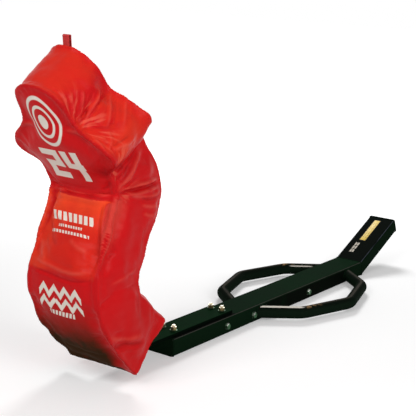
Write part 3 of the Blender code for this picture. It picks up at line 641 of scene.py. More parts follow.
def red_vinyl():
    """Red vinyl sheet: fine grain, orange painted light on its lit parts, painted shade and highlight at
    folds and seams, and painted shade, ground reflection and dirt low down.
    """
    finish = Finish("red_vinyl")
    place = finish.place()
    across, up, depth = finish.held("cut", 3)
    painted_light, shade_and_highlight, shade_and_grime = finish.held("marks", 3)
    clouds = finish.noise(place, 4.0, 4.0)
    mottle = finish.noise(place, 22.0, 4.0)
    streaks = finish.noise(finish.stretched(place, (9.0, 9.0, 2.5)), 3.0, 5.0)
    color = finish.mixed(clouds * 0.55 + mottle * 0.25, (0.62, 0.008, 0.010, 1), (0.50, 0.006, 0.008, 1))
    # Orange painted light on the lit belly panel, on up-facing parts of the head and on the shoulders.
    lit_share = painted_light * (0.55 + streaks * 0.7)
    color = finish.mixed(lit_share, color, (0.86, 0.068, 0.020, 1))
    # Painted shade in fold valleys, seam grooves and below the shoulder.
    color = finish.mixed(shade_and_highlight.at_least(0) * 0.6, color, (0.20, 0.005, 0.007, 1))
    # Pale pink painted highlight on raised folds and ridges, with some wear, where the held shade is
    # negative.
    rubbed_highlight = (0 - shade_and_highlight).at_least(0) * streaks.above(0.36, 0.12)
    color = finish.mixed(rubbed_highlight * 0.45, color, (0.80, 0.125, 0.085, 1))
    creases, share = gathered_creases(finish, up, depth)
    # Painted highlight and shade along the fine gathered creases.
    color = finish.mixed(creases.above(0.57, 0.05) * share * 0.38, color, (0.84, 0.160, 0.095, 1))
    color = finish.mixed(creases.below(0.42, 0.06) * share * 0.30, color, (0.26, 0.006, 0.008, 1))
    # Darker and browner low on the front: painted shade and ground reflection, with some dirt.
    color = finish.mixed(shade_and_grime * (0.75 + mottle * 0.6), color, (0.040, 0.017, 0.006, 1))
    front = depth.below(-0.06, 0.004)
    chips = (mottle * 0.5 + streaks * 0.5).above(0.34, 0.03)
    ink = block_print(across, up) * front * chips
    color = finish.mixed(ink * 0.93, color, (0.80, 0.77, 0.68, 1))
    grain = finish.cells(place, 620.0)
    pores = finish.noise(place, 1500.0, 2.0)
    crumpled = finish.noise(place, 34.0, 5.0, 0.6)
    soft = finish.bumped(crumpled, 0.0030, 0.30)
    soft = finish.bumped(creases * share, 0.0080, 0.40, soft)
    skin = finish.bumped(grain * 0.7 + pores * 0.3 - ink * 0.6, 0.00022, 0.45, soft)
    rough = 0.30 + mottle * 0.10 + shade_and_grime * 0.60 + ink * 0.12 - painted_light * 0.03
    return finish.finish_with(Base_Color=color, Roughness=rough, Normal=skin, Specular_IOR_Level=0.055)


def red_webbing():
    """Woven nylon strap: slanted ribs that meet in the middle of the web, over fine threads."""
    finish = Finish("red_webbing")
    place = finish.place()
    across, along = finish.held("weave", 2)
    ribs = (along * 3100.0 + abs(across) * 2600.0).wave() * 0.5 + 0.5
    threads = (across * 5200.0).wave() * 0.5 + 0.5
    fuzz = finish.noise(place, 900.0, 2.0)
    height = ribs * 0.6 + threads * 0.25 + fuzz * 0.2
    color = finish.mixed(height, (0.30, 0.010, 0.012, 1), (0.68, 0.030, 0.028, 1))
    bump = finish.bumped(height, 0.0006, 0.7)
    return finish.finish_with(Base_Color=color, Roughness=0.72 + fuzz * 0.12, Normal=bump)


def yellow_label():
    """Yellow lacquered plate with a thin dark border and two rows of plain bars, scratched and gone dull."""
    finish = Finish("yellow_label")
    place = finish.place()
    clouds = finish.noise(place, 45.0, 5.0)
    scratches = finish.noise(finish.stretched(place, (90.0, 14.0, 14.0)), 6.0, 6.0, 0.7).above(0.62, 0.04)
    color = finish.mixed(clouds, (0.84, 0.61, 0.095, 1), (0.70, 0.47, 0.060, 1))
    color = finish.mixed(scratches * 0.5, color, (0.80, 0.74, 0.50, 1))
    across, along = finish.parts(place, 2)
    along = (along - BEAM_LENGTH / 2) / math.cos(TAIL_RISE)
    aside = abs(across - (LABEL_ACROSS[0] + LABEL_ACROSS[1]) / 2)
    half_width = (LABEL_ACROSS[1] - LABEL_ACROSS[0]) / 2
    lengthwise = abs(along - (LABEL_ALONG[0] + LABEL_ALONG[1]) / 2)
    half_length = (LABEL_ALONG[1] - LABEL_ALONG[0]) / 2
    side_lines = aside.above(half_width - LABEL_BORDER, 0.0006)
    border = side_lines.at_least(lengthwise.above(half_length - LABEL_BORDER, 0.0006))
    bars = aside.above(0.0035, 0.0006) * aside.below(0.0085, 0.0006)
    bars = bars * lengthwise.below(half_length - 0.020, 0.001)
    bars = bars * (along / LABEL_BAR_PITCH).fraction().below(0.62, 0.06)
    color = finish.mixed(border.at_least(bars * 0.55), color, (0.110, 0.075, 0.025, 1))
    rough = 0.38 + clouds * 0.2
    return finish.finish_with(Base_Color=color, Roughness=rough, Specular_IOR_Level=0.2,
                              Normal=finish.bumped(clouds, 0.0003, 0.3))


def white_paint():
    """White paint, chipped and greyed."""
    finish = Finish("white_paint")
    place = finish.place()
    chips = finish.noise(place, 160.0, 4.0).above(0.56, 0.05)
    color = finish.mixed(chips * 0.8, (0.56, 0.51, 0.43, 1), (0.060, 0.075, 0.055, 1))
    return finish.finish_with(Base_Color=color, Roughness=0.55, Specular_IOR_Level=0.05)


def pale_foam():
    """Open-cell foam, cut with a knife."""
    finish = Finish("pale_foam")
    place = finish.place()
    cells = finish.cells(place, 420.0)
    stain = finish.noise(place, 9.0, 4.0)
    color = finish.mixed(stain, (0.72, 0.66, 0.47, 1), (0.62, 0.54, 0.34, 1))
    color = finish.mixed(cells * 0.6, color, (0.40, 0.33, 0.20, 1))
    return finish.finish_with(Base_Color=color, Roughness=0.95, Normal=finish.bumped(cells, 0.001, 0.8))


def plain_floor():
    """White floor that shows to the camera as white, also far from the lamps, and takes the shadow."""
    finish = Finish("plain_floor")
    far = finish.read("ShaderNodeVectorMath", {"operation": "LENGTH"}, {0: finish.place()}, "Value")
    path = finish.node("ShaderNodeLightPath")
    seen = Reading(finish, path.outputs["Is Camera Ray"])
    seen = seen.at_least(Reading(finish, path.outputs["Is Glossy Ray"]))
    seen = seen.at_least(Reading(finish, path.outputs["Is Transmission Ray"]))
    lifted = (GLOW_NEAR + (GLOW_FAR - GLOW_NEAR) * far.above(2.6, 1.5)) * seen
    glow = finish.mixed(lifted, (0, 0, 0, 1), (1, 1, 1, 1))
    return finish.finish_with(Base_Color=(0.80, 0.80, 0.80, 1), Roughness=0.9, Specular_IOR_Level=0.0,
                              Emission_Color=glow, Emission_Strength=1.0)


# Camera, floor and light

def added(name, content):
    """New object in the scene that holds a mesh, a lamp or a camera."""
    holder = bpy.data.objects.new(name, content)
    bpy.context.collection.objects.link(holder)
    return holder


def set_camera():
    azimuth, elevation, roll = CAMERA_AZIMUTH, CAMERA_ELEVATION, CAMERA_ROLL
    back = Vector((math.sin(azimuth) * math.cos(elevation),
                   -math.cos(azimuth) * math.cos(elevation),
                   math.sin(elevation)))
    right = Vector((math.cos(azimuth), math.sin(azimuth), 0.0))
    up = back.cross(right)
    rolled_right = right * math.cos(roll) + up * math.sin(roll)
    rolled_up = up * math.cos(roll) - right * math.sin(roll)
    lens = bpy.data.cameras.new("camera")
    lens.angle = CAMERA_VIEW
    camera = added("camera", lens)
    turn = Matrix((rolled_right, rolled_up, back)).transposed()
    camera.matrix_world = Matrix.Translation(CAMERA_PLACE) @ turn.to_4x4()
    bpy.context.scene.camera = camera


def set_floor():
    bpy.ops.mesh.primitive_plane_add(size=40.0, location=(0.0, 0.0, -0.0005))
    floor = bpy.context.object
    floor.name = "floor"
    floor.data.materials.append(plain_floor())


def softbox(name, place, aim, size, power):
    lamp = bpy.data.lights.new(name, "AREA")
    lamp.shape = "RECTANGLE"
    lamp.size, lamp.size_y = size
    lamp.energy = power
    toward = Vector(aim) - Vector(place)
    turn = toward.to_track_quat("-Z", "Y").to_matrix().to_4x4()
    added(name, lamp).matrix_world = Matrix.Translation(place) @ turn


def set_light():
    softbox("front_softbox", (0.1, -3.5, 2.6), (0.0, -0.8, 0.5), (1.4, 1.4), 50.0)
    softbox("camera_side_softbox", (3.4, -1.7, 1.9), (0.0, -0.7, 0.5), (1.6, 1.6), 66.0)
    softbox("rear_softbox", (-1.6, 2.4, 2.6), (0.0, 0.0, 0.3), (1.1, 0.9), 84.0)
    world = bpy.data.worlds.new("studio")
    bpy.context.scene.world = world
    world.use_nodes = True
    tree = world.node_tree
    sky = tree.nodes["Background"]
    path = tree.nodes.new("ShaderNodeLightPath")
    seen = path.outputs["Is Camera Ray"]
    for ray in ("Is Glossy Ray", "Is Transmission Ray"):
        either = tree.nodes.new("ShaderNodeMath")
        either.operation = "MAXIMUM"
        tree.links.new(seen, either.inputs[0])
        tree.links.new(path.outputs[ray], either.inputs[1])
        seen = either.outputs[0]
    brightness = tree.nodes.new("ShaderNodeMapRange")
    brightness.inputs["To Min"].default_value = FILL
    brightness.inputs["To Max"].default_value = 1.0
    tree.links.new(seen, brightness.inputs["Value"])
    tree.links.new(brightness.outputs[0], sky.inputs["Strength"])
    sky.inputs["Color"].default_value = (1, 1, 1, 1)
    bpy.context.scene.view_settings.view_transform = "Standard"


def paint(node, material):
    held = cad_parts[node]
    held.data.materials.clear()
    held.data.materials.append(material)


# Pad, worked in its own straightened space: distance up the spine, across, and depth

def spine(distance):
    """Height line of the pad in side view: y, z and lean at a distance from its foot."""
    y, z, lean = FRONT_Y - PAD_FOOT_AHEAD, PAD_FOOT_HEIGHT, FOOT_LEAN
    runs = [
        (FOOT_RUN, 0.0),
        (BELLY_RADIUS * BELLY_TURN, BELLY_TURN),
        (WAIST_RUN, 0.0),
        (WAIST_RADIUS * WAIST_TURN, -WAIST_TURN),
        (CHEST_RUN, 0.0),
    ]
    left = distance
    for length, turn in runs:
        last = turn == 0.0 and length == CHEST_RUN
        step = left if last else min(left, length)
        if turn == 0.0:
            y += step * math.sin(lean)
            z += step * math.cos(lean)
        else:
            radius = length / turn
            after = lean + step / radius
            y += radius * (math.cos(lean) - math.cos(after))
            z += radius * (math.sin(after) - math.sin(lean))
            lean = after
        left -= step
        if left <= 0.0:
            break
    return y, z, lean


def on_spine(distance):
    return Vector((0.0, *spine(distance)[:2]))


def up_spine(lean):
    """Way up the pad's spine where it has that lean."""
    return Vector((0.0, math.sin(lean), math.cos(lean)))


def behind_spine(lean):
    """Way out of the pad's back where its spine has that lean."""
    return Vector((0.0, math.cos(lean), -math.sin(lean)))


SPINE_STOPS = np.arange(-0.03, 1.13, 0.002)
SPINE_LINE = np.array([spine(stop) for stop in SPINE_STOPS])


def in_frame(up, across, depth):
    """Points of the row frame for places in the pad's straightened space."""
    y = np.interp(up, SPINE_STOPS, SPINE_LINE[:, 0])
    z = np.interp(up, SPINE_STOPS, SPINE_LINE[:, 1])
    lean = np.interp(up, SPINE_STOPS, SPINE_LINE[:, 2])
    return np.stack([across, y + depth * np.cos(lean), z - depth * np.sin(lean)], -1)


def in_pad(points):
    """Distance up the spine, across and depth of points of the row frame."""
    nearest = np.empty(len(points), int)
    for first in range(0, len(points), 4000):
        some = points[first:first + 4000, None, 1:3]
        nearest[first:first + 4000] = ((some - SPINE_LINE[None, :, :2]) ** 2).sum(2).argmin(1)
    y, z, lean = SPINE_LINE[nearest].T
    off_y = points[:, 1] - y
    off_z = points[:, 2] - z
    up = SPINE_STOPS[nearest] + off_y * np.sin(lean) + off_z * np.cos(lean)
    return up, points[:, 0], off_y * np.cos(lean) - off_z * np.sin(lean)


def cover_edges_at(up):
    """Half width, front depth and rear depth of the cover's sewn edges, smoothed up the spine."""
    stops = np.arange(-0.03, COVER_EDGES[-1][0] + EDGE_STEP, EDGE_STEP)
    table = np.array(COVER_EDGES)
    sums = [np.interp(stops, table[:, 0], table[:, column]) for column in (1, 2, 3)]
    reach = np.arange(-EASED_STEPS, EASED_STEPS + 1)
    weights = np.exp(-0.5 * (reach / 14.0) ** 2)
    weights /= weights.sum()
    rounded = []
    for values in sums:
        before = np.full(EASED_STEPS, values[0])
        after = 2 * values[-1] - values[-2:-EASED_STEPS - 2:-1]
        rounded.append(np.convolve(np.concatenate([before, values, after]), weights, "valid"))
    keep = np.clip((COVER_EDGES[-1][0] - stops) / 0.02, 0.0, 1.0)
    half = rounded[0] * keep + sums[0] * (1 - keep)
    return (np.interp(up, stops, half), np.interp(up, stops, rounded[1]), np.interp(up, stops, rounded[2]))


def cover_rings(inset, crown, clear):
    """Rings of points round the cover, foot to head, each panel crowned between its sewn edges.

    Each ring is as narrow as the narrowest section within the clear length below it.
    """
    top = COVER_EDGES[-1][0] - inset
    closing = np.linspace(0.08, 1, 14) * math.pi / 2
    stops = np.concatenate([np.linspace(inset, top - 0.03, 104), top - 0.03 * (1 - np.sin(closing))])
    rings = []
    share = np.linspace(-1.0, 1.0, 23)[:-1]
    swell = 1 - share ** 2
    for stop in stops:
        sections = cover_edges_at(stop + inset - np.linspace(0.0, clear, 9))
        half, front, rear = (float(values.min()) for values in sections)
        half = max(half - inset, 0.0)
        front -= inset
        rear -= inset
        crowning = crown * min(1.0, half / 0.06)
        middle = (rear - front) / 2
        deep = (rear + front) / 2
        across = np.concatenate([share * half, half + SIDE_CROWN * crowning * swell,
                                 -share * half, -half - SIDE_CROWN * crowning * swell])
        depth = np.concatenate([-front - FRONT_CROWN * crowning * swell, middle + share * deep,
                                rear + FRONT_CROWN * crowning * swell, middle - share * deep])
        rounding = 1 - ((depth - middle) / deep) ** 2
        lift = 0.010 * crown * np.clip((stop - top + 0.05) / 0.05, 0, 1) * rounding
        rings.append(in_frame(stop + np.maximum(lift, 0.0), across, depth))
    return np.array(rings)


def skin_rows(work, rows, closed):
    """Faces between each row of points and the next one."""
    count = len(rows[0])
    for lower, upper in zip(rows, rows[1:]):
        for place in range(count if closed else count - 1):
            after = (place + 1) % count
            work.faces.new((lower[place], lower[after], upper[after], upper[place]))


def as_piece(work, name):
    """Piece made of finished mesh code, its faces turned outwards."""
    bmesh.ops.recalc_face_normals(work, faces=work.faces)
    mesh = bpy.data.meshes.new(name)
    work.to_mesh(mesh)
    work.free()
    return added(name, mesh)


def cover_form(name, inset, crown, clear=0.0):
    """Closed mesh of the pad's outside, made from its rings."""
    work = bmesh.new()
    rows = [[work.verts.new(point) for point in ring] for ring in cover_rings(inset, crown, clear)]
    skin_rows(work, rows, closed=True)
    work.faces.new(list(reversed(rows[0])))
    bmesh.ops.remove_doubles(work, verts=work.verts, dist=0.0003)
    return as_piece(work, name)


def choose(*pieces):
    """Selects these pieces only, and makes the first one active."""
    bpy.ops.object.select_all(action="DESELECT")
    for piece in pieces:
        piece.select_set(True)
    bpy.context.view_layer.objects.active = pieces[0]


def apply_modifier(piece, kind, name, **settings):
    made = piece.modifiers.new(name, kind)
    for key, value in settings.items():
        setattr(made, key, value)
    choose(piece)
    bpy.ops.object.modifier_apply(modifier=name)


def mesh_points(piece):
    points = np.empty(len(piece.data.vertices) * 3)
    piece.data.vertices.foreach_get("co", points)
    return points.reshape(-1, 3)


def mesh_normals(piece):
    normals = np.empty(len(piece.data.vertices) * 3, np.float32)
    piece.data.vertices.foreach_get("normal", normals)
    return normals.reshape(-1, 3).astype(float)


def move_points(piece, points):
    piece.data.vertices.foreach_set("co", points.astype(np.float32).ravel())
    piece.data.update()


def smooth_step(value, low, high):
    share = np.clip((value - low) / (high - low), 0.0, 1.0)
    return share * share * (3 - 2 * share)


def swell(piece):
    """Blows the cover up like sewn vinyl over foam: free between the seams, held at them."""
    rest = mesh_points(piece)
    cloth = piece.modifiers.new("swell", "CLOTH")
    settings = cloth.settings
    settings.quality = 5
    settings.mass = 0.35
    settings.tension_stiffness = 12.0
    settings.compression_stiffness = 12.0
    settings.shear_stiffness = 4.0
    settings.bending_stiffness = 0.35
    settings.use_pressure = True
    settings.uniform_pressure_force = 4.0
    settings.effector_weights.gravity = 0.0
    for step in range(1, 21):
        bpy.context.scene.frame_set(step)
    choose(piece)
    bpy.ops.object.modifier_apply(modifier=cloth.name)
    bpy.context.scene.frame_set(1)
    moved = mesh_points(piece) - rest
    length = np.linalg.norm(moved, axis=1)
    near_seam = np.exp(-(seam_distance(rest) / SEAM_HOLD) ** 2)
    most = SWELL_BETWEEN + (SWELL_AT_SEAM - SWELL_BETWEEN) * near_seam
    scale = most * np.tanh(length / most) / np.maximum(length, 1e-9)
    move_points(piece, rest + moved * scale[:, None])


def seam_lines(tuck=0.0):
    """Sewn edges in front and behind, each once round the pad from foot to foot, the rear one tucked in."""
    top = COVER_EDGES[-1][0]
    stops = np.concatenate([np.linspace(0.0, top - 0.05, 260), np.linspace(top - 0.05, top, 60)[1:]])
    half, front, rear = cover_edges_at(stops)
    lines = []
    for wide, depth in ((half, -front), (np.maximum(half - 0.55 * tuck, 0.0), rear - tuck)):
        right = in_frame(stops, wide, depth)
        left = in_frame(stops, -wide, depth)
        lines.append(np.concatenate([right, left[::-1]]))
    return lines


def line_starts(line):
    """Length of each run of a line, and how far along the line each of its points is."""
    lengths = np.linalg.norm(np.diff(line, axis=0), axis=1)
    return lengths, np.concatenate([[0.0], np.cumsum(lengths)])


def line_distance(points, line):
    """Distance of each point from a line of many short runs, the place along it, and the nearest spot."""
    near = np.full(len(points), 9.0)
    along = np.zeros(len(points))
    lengths, starts = line_starts(line)
    lowest = line.min(0) - 0.06
    highest = line.max(0) + 0.06
    chosen = np.where(((points > lowest) & (points < highest)).all(1))[0]
    some = points[chosen]
    best = near[chosen]
    where = along[chosen]
    spot = some.copy()
    for index in range(len(line) - 1):
        run = line[index + 1] - line[index]
        size = float(run @ run) + 1e-12
        share = np.clip((some - line[index]) @ run / size, 0.0, 1.0)
        place = line[index] + share[:, None] * run
        gap = np.linalg.norm(some - place, axis=1)
        closer = gap < best
        best[closer] = gap[closer]
        spot[closer] = place[closer]
        where[closer] = starts[index] + share[closer] * lengths[index]
    near[chosen] = best
    along[chosen] = where
    nearest = points.copy()
    nearest[chosen] = spot
    return near, along, nearest


def foot_hem():
    """Sewn edge round the cut lower end of the pad."""
    half, front, rear = (float(value) for value in cover_edges_at(0.0))
    across = np.concatenate([np.linspace(-half, half, 12), np.full(9, half),
                             np.linspace(half, -half, 12), np.full(10, -half)])
    depth = np.concatenate([np.full(12, -front), np.linspace(-front, rear, 11)[1:-1],
                            np.full(12, rear), np.linspace(rear, -front, 11)[1:]])
    return in_frame(np.zeros(len(across)), across, depth)


def sewn_lines(tuck=0.0):
    front, rear = seam_lines(tuck)
    return [front[::2], rear[::2], foot_hem()]


def seam_distance(points):
    return np.minimum.reduce([line_distance(points, line)[0] for line in sewn_lines()])


def pull_out_corners(piece):
    """Brings the four corners of the cut lower end back to where the panels meet."""
    points = mesh_points(piece)
    half, front, rear = (float(value) for value in cover_edges_at(0.0))
    for side in (-1, 1):
        for depth in (-front, rear):
            corner = in_frame(0.0, side * half, depth)
            nearest = points[((points - corner) ** 2).sum(1).argmin()]
            near = np.linalg.norm(points - nearest, axis=1)
            points += (corner - nearest) * np.exp(-(near / CORNER_REACH) ** 2)[:, None]
    move_points(piece, points)


def pull_to_seams(piece):
    """Draws the rounded edges back out to the lines on which the panels are sewn."""
    points = mesh_points(piece)
    normals = mesh_normals(piece)
    lift = np.zeros(len(points))
    for line, hold in zip(sewn_lines(REAR_TUCK), (1.0, 0.80, 1.0)):
        near, along, nearest = line_distance(points, line)
        away = points - nearest
        inside = -(away * normals).sum(1)
        gap = np.linalg.norm(away + normals * inside[:, None], axis=1)
        share = hold * np.exp(-(gap / EDGE_REACH) ** 2) * (near < 0.05)
        pull = np.clip(inside, -0.010, 0.016) * share
        lift = np.where(np.abs(pull) > np.abs(lift), pull, lift)
    move_points(piece, points + normals * lift[:, None])


def along_surface(points, normals, line):
    """Distance of each point from a line, measured along the surface, and the place on the line."""
    near, along, nearest = line_distance(points, line)
    away = points - nearest
    away -= normals * (away * normals).sum(1)[:, None]
    return np.where(near < 0.055, np.linalg.norm(away, axis=1), 9.0), along


def even_line(line):
    """The same line with even stops and its corners eased."""
    starts = line_starts(line)[1]
    stops = np.linspace(0.0, starts[-1], FOLD_STOPS)
    eased = np.stack([np.interp(stops, starts, line[:, axis]) for axis in range(3)], -1)
    for _ in range(8):
        eased[1:-1] = (eased[:-2] + 2 * eased[1:-1] + eased[2:]) / 4
    return eased


def fold_lines():
    """Height, width and line of every fold, with those of the far side a little different."""
    folds = []
    for height, width, line in SIDE_FOLDS:
        up, depth = np.array(line).T
        if up[-1] > 0.85:
            height *= NECK_EASE
        half = cover_edges_at(up)[0]
        folds.append((height, width, in_frame(up, half, depth)))
        shifted = up + 0.007 * np.sin(31.0 * depth + 47.0 * up[0])
        depth = depth + 0.006 * np.sin(23.0 * up + 2.0)
        folds.append((height * FAR_SIDE_FOLD, width, in_frame(shifted, -half, depth)))
    for panel, table in ((-1, FRONT_FOLDS), (1, BACK_FOLDS)):
        for height, width, line in table:
            up, across = np.array(line).T
            edges = cover_edges_at(up)
            depth = -edges[1] - 0.006 if panel < 0 else edges[2] + 0.006
            folds.append((height, width, in_frame(up, across, depth)))
    return [(height, width, even_line(line)) for height, width, line in folds]


def soft_waves(points, length, seed, count=14):
    """Smooth noise about 1 high, from waves in fixed random directions."""
    draw = np.random.default_rng(seed)
    total = np.zeros(len(points))
    for _ in range(count):
        way = draw.normal(size=3)
        way /= np.linalg.norm(way)
        pitch = length * draw.uniform(0.7, 1.5)
        total += np.sin(points @ way * (2 * math.pi / pitch) + draw.uniform(0, 2 * math.pi))
    return total / math.sqrt(count / 2)


def bell(distance, width):
    """1 at no distance, falling off softly over the width."""
    return np.exp(-(distance / width) ** 2)


def crumple(piece):
    """Slack, folds, and sewn grooves with the vinyl gathered beside them. Returns painted shade for valleys
    and grooves, negative for painted highlight on ridges.
    """
    points = mesh_points(piece)
    normals = mesh_normals(piece)
    up, across, depth = in_pad(points)
    taut = 1 - 0.65 * (depth < -0.07) * smooth_step(up, 0.66, 0.72)
    lift = SLACK_WIDE * soft_waves(points, 0.105, 3) * taut
    lift += SLACK_FINE * soft_waves(points, 0.040, 5) * taut
    shade_and_highlight = np.zeros(len(points))
    ridge_highlight = np.zeros(len(points))
    for height, width, line in fold_lines():
        gap, along = along_surface(points, normals, line)
        share = along / line_starts(line)[1][-1]
        fade = smooth_step(share, 0.0, 0.22) * smooth_step(1 - share, 0.0, 0.22)
        core = (0.55 * bell(gap, width) + 0.45 * np.exp(-gap / (0.7 * width))) * fade
        tip = bell(gap, 0.65 * width) * fade
        beside = bell(gap - 1.9 * width, 0.9 * width) * fade
        lift += height * (core - 0.32 * beside)
        # Painted shade at valleys of sunken folds and faintly beside raised ones; painted highlight on raised
        # folds.
        if height < 0:
            shade_and_highlight = np.maximum(shade_and_highlight, tip * min(1.0, -height / 0.007))
        else:
            shade_and_highlight = np.maximum(shade_and_highlight, beside * 0.15 * min(1.0, height / 0.006))
            ridge_highlight = np.maximum(ridge_highlight, tip * min(1.0, height / 0.005))
    crown = smooth_step(up, 0.985, 1.050) * smooth_step(-across, -0.010, 0.045)
    lift += CROWN_PUSH * crown * (1 - np.clip(depth / 0.115, -1.0, 1.0) ** 2)
    for number, line in enumerate(sewn_lines()):
        gap, along = along_surface(points, normals, line)
        loose = smooth_step(up, 0.43, 0.47) * smooth_step(0.70 - up, 0.0, 0.05) * (number == 0)
        groove = bell(gap, GROOVE_WIDTH)
        roll = bell(gap - ROLL_OFF, ROLL_WIDTH)
        pucker_way = along + 0.012 * np.sin(along * 31.0) + 0.02 * number
        pucker = np.sin(pucker_way * 2 * math.pi / PUCKER_PITCH) * (0.6 + 0.4 * np.sin(along * 17.0 + number))
        reach = np.exp(-gap / PUCKER_REACH) * (1 - bell(gap, 0.006))
        sewn = ROLL_HEIGHT * roll - GROOVE_DEPTH * (1 - loose) * groove
        lift += sewn + PUCKER * (1 + loose) * pucker * reach
        ridge = bell(gap, RIDGE_WIDTH) * loose
        lift += RIDGE * ridge
        shade_and_highlight = np.maximum(shade_and_highlight, groove * 0.5 * (1 - loose))
        ridge_highlight = np.maximum(ridge_highlight, ridge * (0.75 + 0.25 * pucker))
    move_points(piece, points + normals * lift[:, None])
    return shade_and_highlight - ridge_highlight * (1 - shade_and_highlight)


def shaded(piece, material):
    """Shades all of a piece smoothly and gives it its finish."""
    piece.data.polygons.foreach_set("use_smooth", np.ones(len(piece.data.polygons), bool))
    piece.data.materials.append(material)


def hold(piece, name, values):
    """Keeps a vector for each point of the mesh, for the finish to read."""
    held = piece.data.attributes.new(name, "FLOAT_VECTOR", "POINT")
    held.data.foreach_set("vector", np.asarray(values, np.float32).ravel())


def pad_cover():
    """Sewn vinyl cover, swollen over its foam, with seams and folds, and marks of painted light and shade and
    of dirt.
    """
    piece = cover_form("vinyl_cover", COVER_INSET, 0.5)
    apply_modifier(piece, "REMESH", "even_mesh", mode="VOXEL", voxel_size=COVER_VOXEL)
    apply_modifier(piece, "SMOOTH", "voxel_steps_out", factor=0.5, iterations=4)
    swell(piece)
    apply_modifier(piece, "SUBSURF", "finer", levels=1, render_levels=1)
    pull_out_corners(piece)
    pull_to_seams(piece)
    pull_to_seams(piece)
    apply_modifier(piece, "SMOOTH", "even_edges", factor=0.5, iterations=3)
    shade_and_highlight = crumple(piece)
    apply_modifier(piece, "SMOOTH", "even_folds", factor=0.4, iterations=1)
    mark_cover(piece, shade_and_highlight)
    shaded(piece, RED_VINYL)
    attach(piece, "pad")
    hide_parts("pad_cover")


def mark_cover(piece, shade_and_highlight):
    """Keeps where each point was on the cut vinyl, its orange painted light, its painted shade and highlight,
    and its painted shade and dirt low down.
    """
    points = mesh_points(piece)
    normals = mesh_normals(piece)
    up, across, depth = in_pad(points)
    hold(piece, "cut", np.stack([across, up, depth], -1))
    front = smooth_step(-depth, 0.06, 0.10)
    ridge = np.interp(up, BELLY_RIDGE[0], BELLY_RIDGE[1])
    belly = front * smooth_step(up, 0.322, 0.332) * smooth_step(0.625 - up, 0.0, 0.03)
    front_panel = smooth_step(-depth - cover_edges_at(up)[1], -0.012, -0.001)
    belly *= 1 - smooth_step(-across, 0.04, 0.09) * (1 - front_panel)
    belly *= smooth_step(ridge - across, -0.004, 0.006)
    # Painted highlight: a pale band on the side panel beside the belly ridge, held as negative shade.
    beside = smooth_step(across - ridge, 0.0, 0.006) * smooth_step(-0.055 - depth, 0.0, 0.045)
    beside *= smooth_step(up, 0.345, 0.40) * smooth_step(0.64 - up, 0.0, 0.04)
    shade_and_highlight = np.where(shade_and_highlight < 0.15, np.minimum(shade_and_highlight, -0.75 * beside), shade_and_highlight)
    # Painted shadow below the front corner of the shoulder.
    armpit_shadow = 0.9 * bell(up - 0.772, 0.022)
    armpit_shadow = armpit_shadow * smooth_step(-depth, 0.0, 0.09) * smooth_step(across, 0.09, 0.13)
    shade_and_highlight = shade_and_highlight * (1 - armpit_shadow) + armpit_shadow
    # Painted light: orange lit patches on the belly panel, on up-facing parts of the head and on the
    # shoulders' tops.
    lit_strength = 0.22 + 0.88 * smooth_step(up, 0.40, 0.57) + 0.30 * smooth_step(-across, 0.02, 0.10)
    upper = 0.28 * smooth_step(normals[:, 2], 0.10, 0.75) * smooth_step(up, 0.76, 0.84)
    shoulder = 0.36 * smooth_step(up, 0.775, 0.815) * smooth_step(0.905 - up, 0.0, 0.05) * (1 - front)
    shoulder *= 1 - 0.6 * smooth_step(depth, 0.02, 0.09)
    painted_light = np.maximum.reduce([belly * np.minimum(lit_strength, 1.0), upper, shoulder])
    # Painted shade and ground reflection low on the front of the pad, with some dirt.
    low = smooth_step(0.300 - up, 0.0, 0.16)
    shade_and_grime = low * np.maximum(front * smooth_step(0.135 - across, 0.0, 0.060), 0.06)
    hold(piece, "marks", np.stack([painted_light, shade_and_highlight, shade_and_grime], -1))


def foam_core():
    """Foam inside the cover, seen only through the slot for the leaf."""
    piece = cover_form("foam_filling", FOAM_INSET, 0.3, clear=2 * FOAM_INSET)
    apply_modifier(piece, "REMESH", "even_mesh", mode="VOXEL", voxel_size=FOAM_VOXEL)
    shaded(piece, PALE_FOAM)
    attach(piece, "pad")
    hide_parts("foam_core")


def head_strap():
    """Loop of webbing, sewn into the top seam of the head."""
    lean = spine(SPINE_LENGTH)[2]
    foot = on_spine(SPINE_LENGTH) + behind_spine(lean) * STRAP_BEHIND_SPINE
    foot -= up_spine(lean) * STRAP_SUNK
    rise = up_spine(STRAP_LEAN)
    along = Vector((0.0, rise.z, -rise.y))
    path = []
    for share in np.linspace(0, 1, 9):
        path.append(foot - along * (STRAP_FOLD * 0.75) + rise * (STRAP_HEIGHT * share))
    for angle in np.linspace(math.pi, 0, 9)[1:-1]:
        behind = along * (STRAP_FOLD * math.cos(angle))
        path.append(foot + behind + rise * (STRAP_HEIGHT + STRAP_FOLD * math.sin(angle)))
    for share in np.linspace(1, 0, 9):
        path.append(foot + along * (STRAP_FOLD * 0.75) + rise * (STRAP_HEIGHT * share))
    work = bmesh.new()
    weave = []
    rows = []
    travelled = 0.0
    for index, point in enumerate(path):
        if index:
            travelled += (point - path[index - 1]).length
        row = []
        for share in np.linspace(-0.5, 0.5, 9):
            row.append(work.verts.new(point + Vector((share * STRAP_WIDTH, 0.0, 0.0))))
            weave.append((share * STRAP_WIDTH, travelled, 0.0))
        rows.append(row)
    skin_rows(work, rows, closed=False)
    piece = as_piece(work, "webbing_loop")
    hold(piece, "weave", weave)
    apply_modifier(piece, "SOLIDIFY", "thickness", thickness=STRAP_THICKNESS * 0.8, offset=0.0)
    apply_modifier(piece, "BEVEL", "soft_edges", width=0.0007, segments=2)
    shaded(piece, RED_WEBBING)
    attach(piece, "pad")
    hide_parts("head_strap")


# Rigid pieces, drawn out and bent as by hand

def to_edit(piece):
    choose(piece)
    bpy.ops.object.mode_set(mode="EDIT")


def to_object():
    bpy.ops.object.mode_set(mode="OBJECT")


